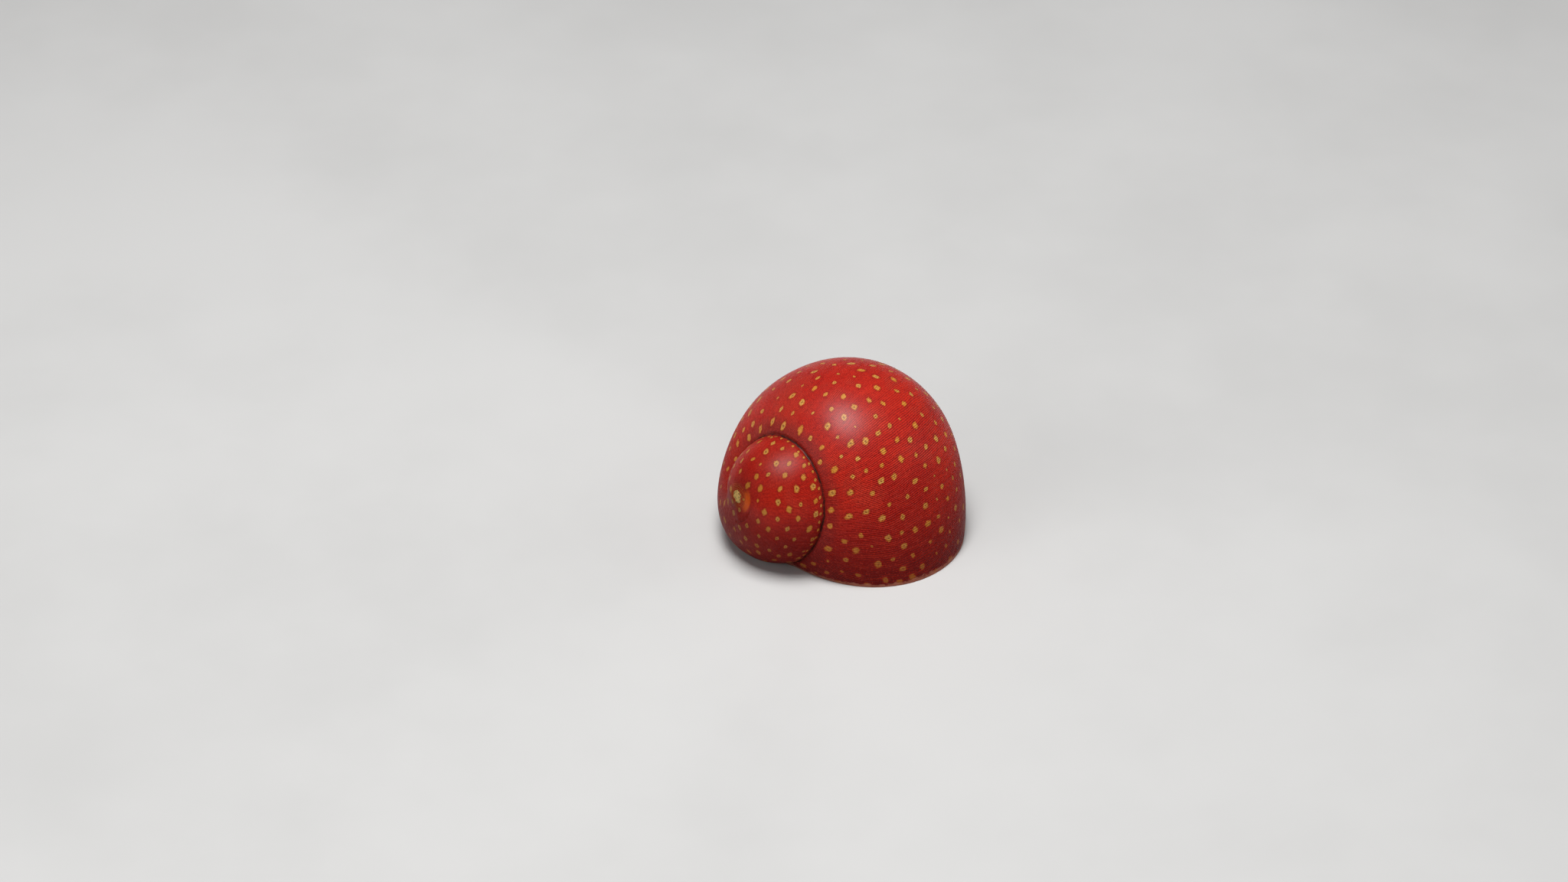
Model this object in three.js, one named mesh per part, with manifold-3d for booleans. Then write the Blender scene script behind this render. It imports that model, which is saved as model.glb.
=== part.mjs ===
// Nerite snail at life size, at rest with its shell drawn down over the foot.
// Millimetres, +Z up, sole and shell lip on z = 0. The shell winds to the right about an axis
// that leans out to the viewer's left, and the head peeps out under the far end of the shell.

import * as THREE from 'three';
import { mergeVertices } from 'three/addons/utils/BufferGeometryUtils.js';
import Module from 'manifold-3d';

// The coiling axis points from the base of the shell out through the apex.
const APEX = { x: -8.412, y: -6.624, height: 6.98 };
const SPIRE_AZIMUTH = THREE.MathUtils.degToRad(218.3);
const SPIRE_RISE = THREE.MathUtils.degToRad(11.8);

// The whorl: an oval section whose size and place grow with the turn. A turn of 0 is the
// floor side of the lip, and the numbers below hold half a turn before it.
const WHORL_RADIUS = 6.538;
const SECTION_STRETCH = 0.921;
const SECTION_LEAN = -0.168;
const SECTION_POWER = 2.15;
const RADIUS_GROWTH = { rate: 0.406, bend: -0.435 };
const OFFSET_RATIO = { start: 0.456, rate: -0.338, bend: 0.109 };
const DROP_RATIO = { start: 1.695, rate: -0.06, bend: -0.814 };

// Where the spire meets the last whorl, the section sits nearer the apex.
const SHOULDER = { turn: -0.925, width: 0.153, radius: -0.008, offset: -0.007, drop: -0.365 };

// Over the last third of a turn the section reaches further towards the apex.
const CLOSING = { turn: -0.343, rise: 9.529 };

// The outer lip spreads outwards close to the floor, about a middle measured from the apex.
const FLARE = { x: 10.377, y: 4.102, reach: 2.834, height: 8.224, heading: -0.834, halfWidth: 1.667 };

// The plane that follows the suture, by its depth below the apex and its two slopes.
const PARTING = { depth: 3.5, floorward: -0.03, aside: -0.17 };

// The mouth of the shell, with its middle measured from the apex in plan.
const APERTURE = { x: 10.3, y: 4, back: 6.3, front: 7.6, columella: 1.75 };
const HEAD_TURN = 0.48;
const LIP_WALL = 0.9;
const RECESS_HEIGHT = 3.7;
const ARCH = { halfWidth: 3, height: 3.2 };
const RIM_POINTS = 48;
const SHELF = { reach: 1.5, span: 0.6, thickness: 0.8, height: 0.25, teeth: 5, toothHeight: 0.35 };

// The animal
const FOOT = { height: 2, showing: 0.9, lobe: 0.21, neck: -1.7, neckWidth: 0.55 };
const OPERCULUM = { share: 0.55, thickness: 0.55 };
const HEAD = { showing: 2.3 };
const TENTACLE = { radius: 0.32, length: 2.5 };

const GAP = 0.3;
const WELD = 0.004;
// The spire's rounded top, and the solid core behind the columella.
const DOME = { overhang: 1.061, power: 2.1, lift: 0.554 };
const SUTURE_OUT = { lip: 6.409, rate: 4.135, bend: 0.523 };
const SUTURE_DOWN = { turn: -0.409, deepest: 3.975, bend: -3.145 };
const BASE_CORE = { depth: 10, radius: 5.4 };
const EASING = { passes: 8, from: 1.2, full: 1.6, overall: 0.04 };

const FIRST_TURN = -1.001;
const LAST_TURN = 0;
const COIL_MIDDLE = 6.5;
const SHELL_COLUMNS = 80;
const SHELL_ROWS = 52;

const { subtract, pieces } = await loadSolids();

// Solids: joining and cutting closed surfaces

async function loadSolids() {
  const wasm = await Module();
  wasm.setup();

  function toSolid(geometry) {
    const bare = geometry.clone();
    bare.deleteAttribute('normal');
    bare.deleteAttribute('uv');
    const merged = mergeVertices(bare, 1e-4);
    const vertProperties = new Float32Array(merged.attributes.position.array);
    const triVerts = new Uint32Array(merged.index.array);
    return new wasm.Manifold(new wasm.Mesh({ numProp: 3, vertProperties, triVerts }));
  }

  // Keeps the largest closed surface and merges corners that lie closer than the weld distance.
  function toGeometry(solid) {
    const whole = solid.decompose().sort((a, b) => b.volume() - a.volume())[0];
    const mesh = whole.getMesh();
    const geometry = new THREE.BufferGeometry();
    geometry.setAttribute('position', new THREE.BufferAttribute(new Float32Array(mesh.vertProperties), 3));
    geometry.setIndex(Array.from(mesh.triVerts));
    return geometry;
  }

  // Sets every corner on a fine lattice, so that corners either coincide or stand clear of each other.
  function welded(geometry) {
    const places = geometry.attributes.position.array;
    for (let i = 0; i < places.length; i += 1) {
      places[i] = Math.round(places[i] / WELD) * WELD;
    }
    const merged = mergeVertices(geometry, WELD / 4);
    const source = merged.index.array;
    const faces = new Map();
    for (let i = 0; i < source.length; i += 3) {
      const face = [source[i], source[i + 1], source[i + 2]];
      if (new Set(face).size < 3) {
        continue;
      }
      const key = [...face].sort((a, b) => a - b).join(' ');
      if (faces.has(key)) {
        faces.delete(key);
      } else {
        faces.set(key, face);
      }
    }
    merged.setIndex([...faces.values()].flat());
    return merged;
  }

  function combine(method, first, others) {
    let solid = toSolid(first);
    for (const other of others) {
      solid = solid[method](toSolid(other));
    }
    return welded(toGeometry(toSolid(welded(toGeometry(solid)))));
  }

  // The closed surfaces that a cut leaves, from the largest to the smallest.
  function pieces(whole, cutter) {
    return toSolid(whole).subtract(toSolid(cutter)).decompose()
      .sort((a, b) => b.volume() - a.volume())
      .map((piece) => welded(toGeometry(piece)));
  }

  return {
    subtract: (first, ...others) => combine('subtract', first, others),
    pieces,
  };
}

// Skins a list of closed rings with the same number of points and closes both ends.
function loft(rings) {
  const around = rings[0].length;
  const positions = [];
  const index = [];
  for (const ring of rings) {
    for (const point of ring) {
      positions.push(point.x, point.y, point.z);
    }
  }
  for (let i = 0; i < rings.length - 1; i += 1) {
    for (let j = 0; j < around; j += 1) {
      const a = i * around + j;
      const b = i * around + ((j + 1) % around);
      index.push(a, b, b + around, a, b + around, a + around);
    }
  }
  closeEnd(positions, index, rings[0], 0, true);
  closeEnd(positions, index, rings[rings.length - 1], (rings.length - 1) * around, false);
  const geometry = new THREE.BufferGeometry();
  geometry.setAttribute('position', new THREE.Float32BufferAttribute(positions, 3));
  geometry.setIndex(index);
  return facingOut(geometry);
}

function closeEnd(positions, index, ring, start, reversed) {
  const centre = new THREE.Vector3();
  for (const point of ring) {
    centre.addScaledVector(point, 1 / ring.length);
  }
  const hub = positions.length / 3;
  positions.push(centre.x, centre.y, centre.z);
  for (let j = 0; j < ring.length; j += 1) {
    const a = start + j;
    const b = start + ((j + 1) % ring.length);
    index.push(hub, reversed ? b : a, reversed ? a : b);
  }
}

// Turns every face over when the surface is inside out.
function facingOut(geometry) {
  const points = geometry.attributes.position;
  const index = Array.from(geometry.index.array);
  const corner = [new THREE.Vector3(), new THREE.Vector3(), new THREE.Vector3()];
  let volume = 0;
  for (let i = 0; i < index.length; i += 3) {
    for (let k = 0; k < 3; k += 1) {
      corner[k].fromBufferAttribute(points, index[i + k]);
    }
    volume += corner[0].dot(corner[1].clone().cross(corner[2]));
  }
  if (volume < 0) {
    for (let i = 0; i < index.length; i += 3) {
      [index[i + 1], index[i + 2]] = [index[i + 2], index[i + 1]];
    }
  }
  geometry.setIndex(index);
  return geometry;
}

// The coil

const apex = new THREE.Vector3(APEX.x, APEX.y, APEX.height);
const axis = new THREE.Vector3(
  Math.cos(SPIRE_AZIMUTH) * Math.cos(SPIRE_RISE),
  Math.sin(SPIRE_AZIMUTH) * Math.cos(SPIRE_RISE),
  Math.sin(SPIRE_RISE),
);
const floorward = new THREE.Vector3(0, 0, -1).addScaledVector(axis, axis.z).normalize();
const sideways = axis.clone().cross(floorward);

// Size and place of the whorl's section, with turn 0 at the lip and -1 a whole turn before.
function whorlAt(turn) {
  const t = turn + 0.5;
  const late = Math.max(t, -1);
  const early = Math.min(t + 1, 0);
  const shoulder = Math.exp(-(((turn - SHOULDER.turn) / SHOULDER.width) ** 2));
  const growth = RADIUS_GROWTH.rate * late + RADIUS_GROWTH.bend * late * late
    + early * (RADIUS_GROWTH.rate - 2 * RADIUS_GROWTH.bend) + SHOULDER.radius * shoulder;
  const radius = WHORL_RADIUS * Math.exp(growth);
  const offset = OFFSET_RATIO.start + OFFSET_RATIO.rate * late + OFFSET_RATIO.bend * late * late
    + SHOULDER.offset * shoulder;
  const drop = DROP_RATIO.start + DROP_RATIO.rate * late + DROP_RATIO.bend * late * late
    + SHOULDER.drop * shoulder;
  const closing = Math.max(turn - CLOSING.turn, 0) ** 2;
  return {
    offset: radius * offset,
    drop: radius * drop,
    halfWidth: radius * SECTION_STRETCH,
    apexward: radius / SECTION_STRETCH + CLOSING.rise * closing,
    baseward: radius / SECTION_STRETCH,
  };
}

// Whether a place in a half plane lies within a whorl's section there.
function insideSection({ offset, drop, halfWidth, apexward, baseward }, out, down) {
  const dx = out - offset;
  const dy = down - drop;
  const across = dx * Math.cos(SECTION_LEAN) + dy * Math.sin(SECTION_LEAN);
  const along = dy * Math.cos(SECTION_LEAN) - dx * Math.sin(SECTION_LEAN);
  const inward = across < 0 ? Math.max(offset / halfWidth, 1) : 1;
  const x = Math.abs(across / (halfWidth * inward)) ** SECTION_POWER;
  const y = Math.abs(along / (along < 0 ? apexward : baseward)) ** SECTION_POWER;
  return x + y <= 1;
}

function coilToWorld(turn, out, down) {
  const angle = turn * 2 * Math.PI;
  return apex.clone()
    .addScaledVector(floorward, out * Math.cos(angle))
    .addScaledVector(sideways, -out * Math.sin(angle))
    .addScaledVector(axis, -down);
}

// Spreads the shell outwards near the floor on the side of the outer lip.
function flared(point) {
  const dx = point.x - apex.x - FLARE.x;
  const dy = point.y - apex.y - FLARE.y;
  const reach = Math.hypot(dx, dy);
  const turned = Math.atan2(dy, dx) - FLARE.heading;
  const bearing = Math.atan2(Math.sin(turned), Math.cos(turned));
  const side = Math.abs(bearing) < FLARE.halfWidth ? Math.cos((bearing / FLARE.halfWidth) * (Math.PI / 2)) : 0;
  const low = Math.min(Math.max(1 - point.z / FLARE.height, 0), 1) ** 2;
  const shift = (FLARE.reach * side * low) / Math.max(reach, 1e-6);
  return new THREE.Vector3(point.x + dx * shift, point.y + dy * shift, point.z);
}

// The rounded top of the spire in one half plane: an oval that runs from the apex over the suture.
function domeAt(azimuth) {
  const out = SUTURE_OUT.lip + SUTURE_OUT.rate * azimuth + SUTURE_OUT.bend * azimuth * azimuth;
  const down = SUTURE_DOWN.deepest * Math.exp(SUTURE_DOWN.bend * (azimuth - SUTURE_DOWN.turn) ** 2);
  return { width: DOME.overhang * out, depth: down / DOME.lift };
}

// What one half plane of the coil holds: its whorls a turn apart, the parts of whorls that
// reach over from the other side, and the spire's rounded top.
function halfPlane(azimuth) {
  const whorls = [];
  for (let turn = azimuth - 4; turn < LAST_TURN - 1e-6; turn += 0.5) {
    const opposite = Math.abs(Math.round((turn - azimuth) * 2)) % 2 === 1;
    if (turn > FIRST_TURN) {
      whorls.push({ ...whorlAt(turn), side: opposite ? -1 : 1 });
    }
  }
  return { whorls, dome: domeAt(azimuth) };
}

function covered({ whorls, dome }, out, down) {
  const high = (dome.depth - down) / dome.depth;
  if (Math.abs(out / dome.width) ** DOME.power + Math.abs(high) ** DOME.power <= 1) {
    return true;
  }
  if (Math.hypot(out, down - BASE_CORE.depth) <= BASE_CORE.radius) {
    return true;
  }
  return whorls.some((whorl) => insideSection(whorl, whorl.side * out, down));
}

// How far a ray from the middle of the coil runs before it leaves the last section it meets.
function rayExit(plane, latitude) {
  const sin = Math.sin(latitude);
  const cos = Math.cos(latitude);
  const within = (reach) => covered(plane, reach * sin, COIL_MIDDLE - reach * cos);
  let outer = 20;
  while (outer > 0.25 && !within(outer)) {
    outer -= 0.25;
  }
  let inner = outer;
  outer += 0.25;
  for (let i = 0; i < 10; i += 1) {
    const middle = (inner + outer) / 2;
    if (within(middle)) {
      inner = middle;
    } else {
      outer = middle;
    }
  }
  return inner;
}

// The reach of the rays by row and column, eased where the last whorl closes on the first.
function shellReach() {
  const reach = [];
  for (let i = 0; i < SHELL_COLUMNS; i += 1) {
    const plane = halfPlane(i / SHELL_COLUMNS - 1);
    const column = [];
    for (let j = 0; j <= SHELL_ROWS; j += 1) {
      column.push(rayExit(plane, latitudeOf(j)));
    }
    reach.push(column);
  }
  for (let pass = 0; pass < EASING.passes; pass += 1) {
    const before = reach.map((column) => [...column]);
    for (let i = 0; i < SHELL_COLUMNS; i += 1) {
      const wrap = Math.min(i, SHELL_COLUMNS - i) / SHELL_COLUMNS;
      const next = before[(i + 1) % SHELL_COLUMNS];
      const last = before[(i + SHELL_COLUMNS - 1) % SHELL_COLUMNS];
      for (let j = 1; j < SHELL_ROWS; j += 1) {
        const low = THREE.MathUtils.smoothstep(latitudeOf(j), EASING.from, EASING.full);
        const weight = 0.5 * low * (1 - THREE.MathUtils.smoothstep(wrap, 0.08, 0.2)) + EASING.overall;
        const mean = (next[j] + last[j] + before[i][j - 1] + before[i][j + 1]) / 4;
        reach[i][j] = THREE.MathUtils.lerp(before[i][j], mean, weight);
      }
    }
  }
  return reach;
}

function latitudeOf(row) {
  return Math.min(Math.max((Math.PI * row) / SHELL_ROWS, 0.012), Math.PI - 0.012);
}

function makeWholeShell() {
  const reach = shellReach();
  const rings = [];
  for (let j = 0; j <= SHELL_ROWS; j += 1) {
    const latitude = latitudeOf(j);
    const pole = reach.reduce((sum, column) => sum + column[j], 0) / SHELL_COLUMNS;
    const ring = reach.map((column, i) => {
      const length = j === 0 || j === SHELL_ROWS ? pole : column[j];
      const down = COIL_MIDDLE - length * Math.cos(latitude);
      return flared(coilToWorld(i / SHELL_COLUMNS, length * Math.sin(latitude), down));
    });
    rings.push(ring);
  }
  return loft(rings);
}

// The mouth of the shell

const heading = SPIRE_AZIMUTH - Math.PI;
const gaze = heading + HEAD_TURN;
const towardsColumella = heading + APERTURE.columella;

function insideShell(point) {
  const upright = point.clone();
  for (let i = 0; i < 3; i += 1) {
    const moved = flared(upright);
    upright.add(point).sub(moved);
  }
  const from = upright.sub(apex);
  const down = -from.dot(axis);
  const across = from.dot(floorward);
  const aside = -from.dot(sideways);
  const turn = Math.atan2(aside, across) / (2 * Math.PI);
  return covered(halfPlane(turn > 0 ? turn - 1 : turn), Math.hypot(across, aside), down);
}

// A place measured from the middle of the shell's mouth, forwards and to the left of the animal.
function place(forward, left, up) {
  return new THREE.Vector3(
    apex.x + APERTURE.x + forward * Math.cos(gaze) - left * Math.sin(gaze),
    apex.y + APERTURE.y + forward * Math.sin(gaze) + left * Math.cos(gaze),
    up,
  );
}

// How far the shell reaches from the middle of its mouth, up to the length of the mouth.
function rimReach(bearing, height) {
  const ahead = Math.max(Math.cos(bearing - heading), 0) ** 2;
  const longest = THREE.MathUtils.lerp(APERTURE.back, APERTURE.front, ahead);
  return Math.min(shellReachFrom(bearing, height), longest);
}

function shellReachFrom(bearing, height) {
  let reach = 2;
  while (reach < 14) {
    const x = apex.x + APERTURE.x + reach * Math.cos(bearing);
    const y = apex.y + APERTURE.y + reach * Math.sin(bearing);
    if (!insideShell(new THREE.Vector3(x, y, height))) {
      break;
    }
    reach += 0.1;
  }
  return reach;
}

const rimBearings = Array.from({ length: RIM_POINTS }, (_, i) => gaze + (i / RIM_POINTS) * 2 * Math.PI);
const rim = easedRim(rimBearings.map((bearing) => rimReach(bearing, 0.4)));
const front = Math.max(...[-0.25, 0, 0.25].map((turn) => shellReachFrom(gaze + turn, 3) * Math.cos(turn)));

function easedRim(reaches) {
  let eased = reaches;
  for (let pass = 0; pass < 6; pass += 1) {
    eased = eased.map((reach, i) => {
      const mean = (eased[(i + 1) % RIM_POINTS] + eased[(i + RIM_POINTS - 1) % RIM_POINTS]) / 2;
      return Math.min((reach + mean) / 2, reaches[i]);
    });
  }
  return eased;
}

// A ring that follows the mouth at a distance inside its rim.
function mouthRing(height, inset, shape = (reach) => reach) {
  return rimBearings.map((bearing, i) => {
    const reach = Math.max(shape(rim[i] - inset, bearing), 0.4);
    const x = apex.x + APERTURE.x + reach * Math.cos(bearing);
    const y = apex.y + APERTURE.y + reach * Math.sin(bearing);
    return new THREE.Vector3(x, y, height);
  });
}

// A body along the animal's heading, with flattened oval sections at the stations given.
function sweep(stations, around = 20) {
  return loft(stations.map(({ forward, left = 0, up, wide, high, turn = 0 }) => (
    Array.from({ length: around }, (_, i) => {
      const angle = (i / around) * 2 * Math.PI;
      const x = Math.cos(angle) * wide;
      return place(forward - x * Math.sin(turn), left + x * Math.cos(turn), up + Math.sin(angle) * high);
    }))));
}

function makeRecess() {
  return loft([
    mouthRing(-1, LIP_WALL),
    mouthRing(1.4, LIP_WALL),
    mouthRing(2.6, LIP_WALL + 0.5),
    mouthRing(3.3, LIP_WALL + 1.3),
    mouthRing(RECESS_HEIGHT, LIP_WALL + 2.6),
  ]);
}

// The lifted part of the rim where the head looks out.
function makeArch() {
  const section = { up: 0, wide: ARCH.halfWidth, high: ARCH.height };
  return sweep([{ forward: front - 4.5, ...section }, { forward: front + 3, ...section }], 28);
}

const shelfEdge = rimReach(towardsColumella, 0.4) - LIP_WALL - GAP - SHELF.reach;

function makeShelf() {
  const outline = [];
  for (let i = 0; i <= 18; i += 1) {
    const bearing = towardsColumella + SHELF.span * (i / 9 - 1);
    const along = ((bearing - gaze) / (2 * Math.PI)) * RIM_POINTS;
    const before = Math.floor(along);
    const first = rim[((before % RIM_POINTS) + RIM_POINTS) % RIM_POINTS];
    const second = rim[(((before + 1) % RIM_POINTS) + RIM_POINTS) % RIM_POINTS];
    const reach = THREE.MathUtils.lerp(first, second, along - before) - LIP_WALL - GAP;
    outline.push(new THREE.Vector2(reach * Math.cos(bearing), reach * Math.sin(bearing)));
  }
  const end = outline[outline.length - 1];
  const normal = new THREE.Vector2(Math.cos(towardsColumella), Math.sin(towardsColumella));
  const tangent = new THREE.Vector2(-normal.y, normal.x);
  const from = end.dot(tangent);
  const to = outline[0].dot(tangent);
  const steps = SHELF.teeth * 6;
  for (let i = 1; i < steps; i += 1) {
    const share = i / steps;
    const tooth = SHELF.toothHeight * Math.max(Math.sin(share * SHELF.teeth * 2 * Math.PI), 0);
    const side = THREE.MathUtils.lerp(from, to, share);
    const ends = Math.min(1, Math.min(share, 1 - share) * 8);
    const depth = THREE.MathUtils.lerp(end.dot(normal), shelfEdge - tooth, ends);
    outline.push(normal.clone().multiplyScalar(depth).addScaledVector(tangent, side));
  }
  const level = (height) => outline.map(({ x, y }) => (
    new THREE.Vector3(apex.x + APERTURE.x + x, apex.y + APERTURE.y + y, height)));
  return loft([level(SHELF.height), level(SHELF.height + SHELF.thickness)]);
}

// How the foot keeps clear of the shelf and reaches out below the head.
function footShape(forwardReach, width = FOOT.lobe) {
  return (reach, bearing) => {
    const facing = Math.cos(bearing - towardsColumella);
    const kept = facing > 0.05 ? Math.min(reach, (shelfEdge - SHELF.toothHeight - GAP) / facing) : reach;
    const turned = Math.atan2(Math.sin(bearing - gaze), Math.cos(bearing - gaze));
    return kept + forwardReach * Math.exp(-((turned / width) ** 2));
  };
}

function makeFoot() {
  const lobe = front - rim[0] + LIP_WALL + FOOT.showing;
  return loft([
    mouthRing(0, LIP_WALL + 0.7, footShape(lobe - 0.2)),
    mouthRing(0.3, LIP_WALL + GAP, footShape(lobe)),
    mouthRing(0.7, LIP_WALL + GAP, footShape(lobe - 0.1)),
    mouthRing(0.8, LIP_WALL + 0.4, footShape(lobe - 0.5)),
    mouthRing(1.0, LIP_WALL + 0.4, footShape(FOOT.neck, FOOT.neckWidth)),
    mouthRing(1.6, LIP_WALL + 0.7, footShape(FOOT.neck, FOOT.neckWidth)),
    mouthRing(FOOT.height, LIP_WALL + 1.8, footShape(FOOT.neck, FOOT.neckWidth)),
  ]);
}

// The lid, folded in above the back of the foot.
function makeOperculum() {
  const ring = (up, inset) => mouthRing(up, 0, (reach, bearing) => (
    OPERCULUM.share * reach * (1 - 0.12 * Math.cos(bearing - heading)) - inset));
  const low = FOOT.height + GAP;
  return loft([ring(low, 0.15), ring(low + 0.12, 0), ring(low + 0.35, 0.08), ring(low + OPERCULUM.thickness, 0.9)]);
}

function makeHead() {
  const back = rim[0] - 2.1;
  return sweep([
    { forward: back, up: 2, wide: 1.5, high: 0.7 },
    { forward: back + 0.5, up: 2, wide: 1.85, high: 0.88 },
    { forward: front, up: 1.95, wide: 1.8, high: 0.85 },
    { forward: front + 1.6, up: 1.9, wide: 1.62, high: 0.78 },
    { forward: front + HEAD.showing, up: 1.85, wide: 1.2, high: 0.6 },
  ]);
}

function makeSnout() {
  const base = front + HEAD.showing + GAP;
  const snout = sweep([
    { forward: base, up: 1.8, wide: 1.15, high: 0.55 },
    { forward: base + 0.6, up: 1.65, wide: 1.1, high: 0.52 },
    { forward: base + 1, up: 1.55, wide: 0.85, high: 0.4 },
    { forward: base + 1.15, up: 1.5, wide: 0.5, high: 0.25 },
  ]);
  const mouth = sweep([
    { forward: base + 0.75, up: 1.32, wide: 0.6, high: 0.1 },
    { forward: base + 2, up: 1.32, wide: 0.6, high: 0.1 },
  ], 12);
  return subtract(snout, mouth);
}

function makeTentacle(side) {
  const start = front + 1.9;
  const left = side * (1.62 + GAP + TENTACLE.radius);
  const stations = [];
  for (let i = 0; i <= 8; i += 1) {
    const share = i / 8;
    const radius = TENTACLE.radius * (share < 0.1 ? 0.75 : 1 - 0.25 * share) * (i === 8 ? 0.6 : 1);
    const turn = side * 0.06;
    stations.push({
      forward: start + TENTACLE.length * 0.95 * share,
      left: left + side * TENTACLE.length * 0.06 * share,
      up: 2 + 0.35 * Math.sin(share * Math.PI),
      wide: radius,
      high: radius,
      turn,
    });
  }
  return sweep(stations, 12);
}

// An eye on its short stalk, on the outer side of the tentacle's base.
function makeEye(side) {
  const start = 1.72 + GAP;
  const stations = [
    { reach: 0, radius: 0.26 },
    { reach: 0.3, radius: 0.27 },
    { reach: 0.4, radius: 0.31 },
    { reach: 0.62, radius: 0.36 },
    { reach: 0.82, radius: 0.28 },
    { reach: 0.92, radius: 0.14 },
  ].map(({ reach, radius }) => {
    const left = side * (start + reach);
    return { forward: front + 1.15, left, up: 2.1 + reach * 0.5, wide: radius, high: radius, turn: side * Math.PI / 2 };
  });
  return sweep(stations, 14);
}

// The plane along the suture parts the spire from the last whorl.
function makeSutureCut() {
  const normal = new THREE.Vector3(PARTING.floorward, PARTING.aside, -1).normalize();
  const world = floorward.clone().multiplyScalar(normal.x)
    .addScaledVector(sideways, -normal.y)
    .addScaledVector(axis, -normal.z);
  const middle = apex.clone().addScaledVector(axis, -PARTING.depth);
  const slab = new THREE.BoxGeometry(60, 60, GAP);
  slab.applyQuaternion(new THREE.Quaternion().setFromUnitVectors(new THREE.Vector3(0, 0, 1), world));
  return slab.translate(middle.x, middle.y, middle.z);
}

const belowFloor = new THREE.BoxGeometry(80, 80, 20).translate(0, 0, -10);
const wholeShell = subtract(makeWholeShell(), belowFloor);
const parted = pieces(wholeShell, makeSutureCut());

const shellRed = new THREE.MeshStandardMaterial({ color: 0xc8261a, roughness: 0.34, metalness: 0 });
const spireRed = new THREE.MeshStandardMaterial({ color: 0xd2452c, roughness: 0.36, metalness: 0 });
const shelfCream = new THREE.MeshStandardMaterial({ color: 0xe9dcc0, roughness: 0.3, metalness: 0 });
const lidGrey = new THREE.MeshStandardMaterial({ color: 0x6e6257, roughness: 0.45, metalness: 0 });
const soleGrey = new THREE.MeshStandardMaterial({ color: 0x8b8069, roughness: 0.5, metalness: 0 });
const headDark = new THREE.MeshStandardMaterial({ color: 0x3d3730, roughness: 0.5, metalness: 0 });
const eyeBlack = new THREE.MeshStandardMaterial({ color: 0x0c0b0b, roughness: 0.15, metalness: 0 });

function named(name, geometry, material) {
  const mesh = new THREE.Mesh(geometry, material);
  mesh.name = name;
  return mesh;
}

const snail = new THREE.Group();
snail.add(named('shell_spire', parted[1], spireRed));
snail.add(named('shell_body_whorl', subtract(parted[0], makeRecess(), makeArch()), shellRed));
snail.add(named('columellar_shelf', makeShelf(), shelfCream));
snail.add(named('operculum', makeOperculum(), lidGrey));
snail.add(named('foot', makeFoot(), soleGrey));
snail.add(named('head', makeHead(), headDark));
snail.add(named('snout', makeSnout(), headDark));
snail.add(named('tentacle_left', makeTentacle(1), headDark));
snail.add(named('tentacle_right', makeTentacle(-1), headDark));
snail.add(named('eye_left', makeEye(1), eyeBlack));
snail.add(named('eye_right', makeEye(-1), eyeBlack));

export default snail;
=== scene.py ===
"""A nerite snail at life size, at rest on a pale floor, seen from the photo's angle.

The shell is a fine surface grown by the same coiling law as the solids. It carries a groove
along the suture, yellow-orange spots, growth lines and a worn apex. One smooth skin stands for
the foot, head, snout and tentacles.
"""

import logging
import math
from collections.abc import Callable
from dataclasses import dataclass, field
from enum import Enum

import bmesh
import bpy
import numpy as np
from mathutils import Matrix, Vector, kdtree


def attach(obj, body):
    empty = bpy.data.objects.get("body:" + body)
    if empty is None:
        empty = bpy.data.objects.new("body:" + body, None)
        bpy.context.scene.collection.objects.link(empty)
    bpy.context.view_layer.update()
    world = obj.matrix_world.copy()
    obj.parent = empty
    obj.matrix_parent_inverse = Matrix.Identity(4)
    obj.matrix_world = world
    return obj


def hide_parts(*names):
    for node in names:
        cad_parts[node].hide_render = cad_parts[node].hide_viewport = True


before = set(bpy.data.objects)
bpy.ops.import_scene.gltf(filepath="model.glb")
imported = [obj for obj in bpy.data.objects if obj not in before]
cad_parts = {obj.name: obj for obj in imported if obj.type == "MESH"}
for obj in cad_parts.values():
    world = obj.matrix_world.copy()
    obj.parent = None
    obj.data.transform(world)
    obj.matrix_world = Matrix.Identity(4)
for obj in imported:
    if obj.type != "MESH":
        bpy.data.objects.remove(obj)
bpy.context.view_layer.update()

logging.basicConfig(level=logging.INFO, format="%(message)s")
LOG = logging.getLogger("snail")

MM = 0.001
GAP = 0.3
NOISE_MIDDLE = 0.5
PORE_SCALE = 8500.0

Socket = bpy.types.NodeSocket
Value = Socket | float | tuple[float, ...]
Colour = tuple[float, float, float]


class Slot(Enum):
    """The record's material slots."""

    SHELL = "shell_red"
    SHELF = "shelf_cream"
    LID = "lid_grey"
    FLESH = "head_flesh"
    EYE = "eye_black"


class Layer(Enum):
    """The surface values that the shell's mesh hands to its material."""

    SPOT = "spot"
    TINT = "spot_tint"
    SUTURE = "suture"
    GROOVE = "suture_depth"
    WEAR = "apex_wear"


@dataclass(frozen=True)
class Finish:
    """A plain finish: colour, gloss and the grain that breaks both up."""

    name: str
    colour: Colour
    dark: Colour
    roughness: float
    coat: float
    grain: float
    relief: float
    stripes: float = 0.0


@dataclass(frozen=True)
class Tone:
    """A colour laid on as a value goes from one limit to another, up to a share."""

    colour: Colour
    start: float
    full: float
    share: float


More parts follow.
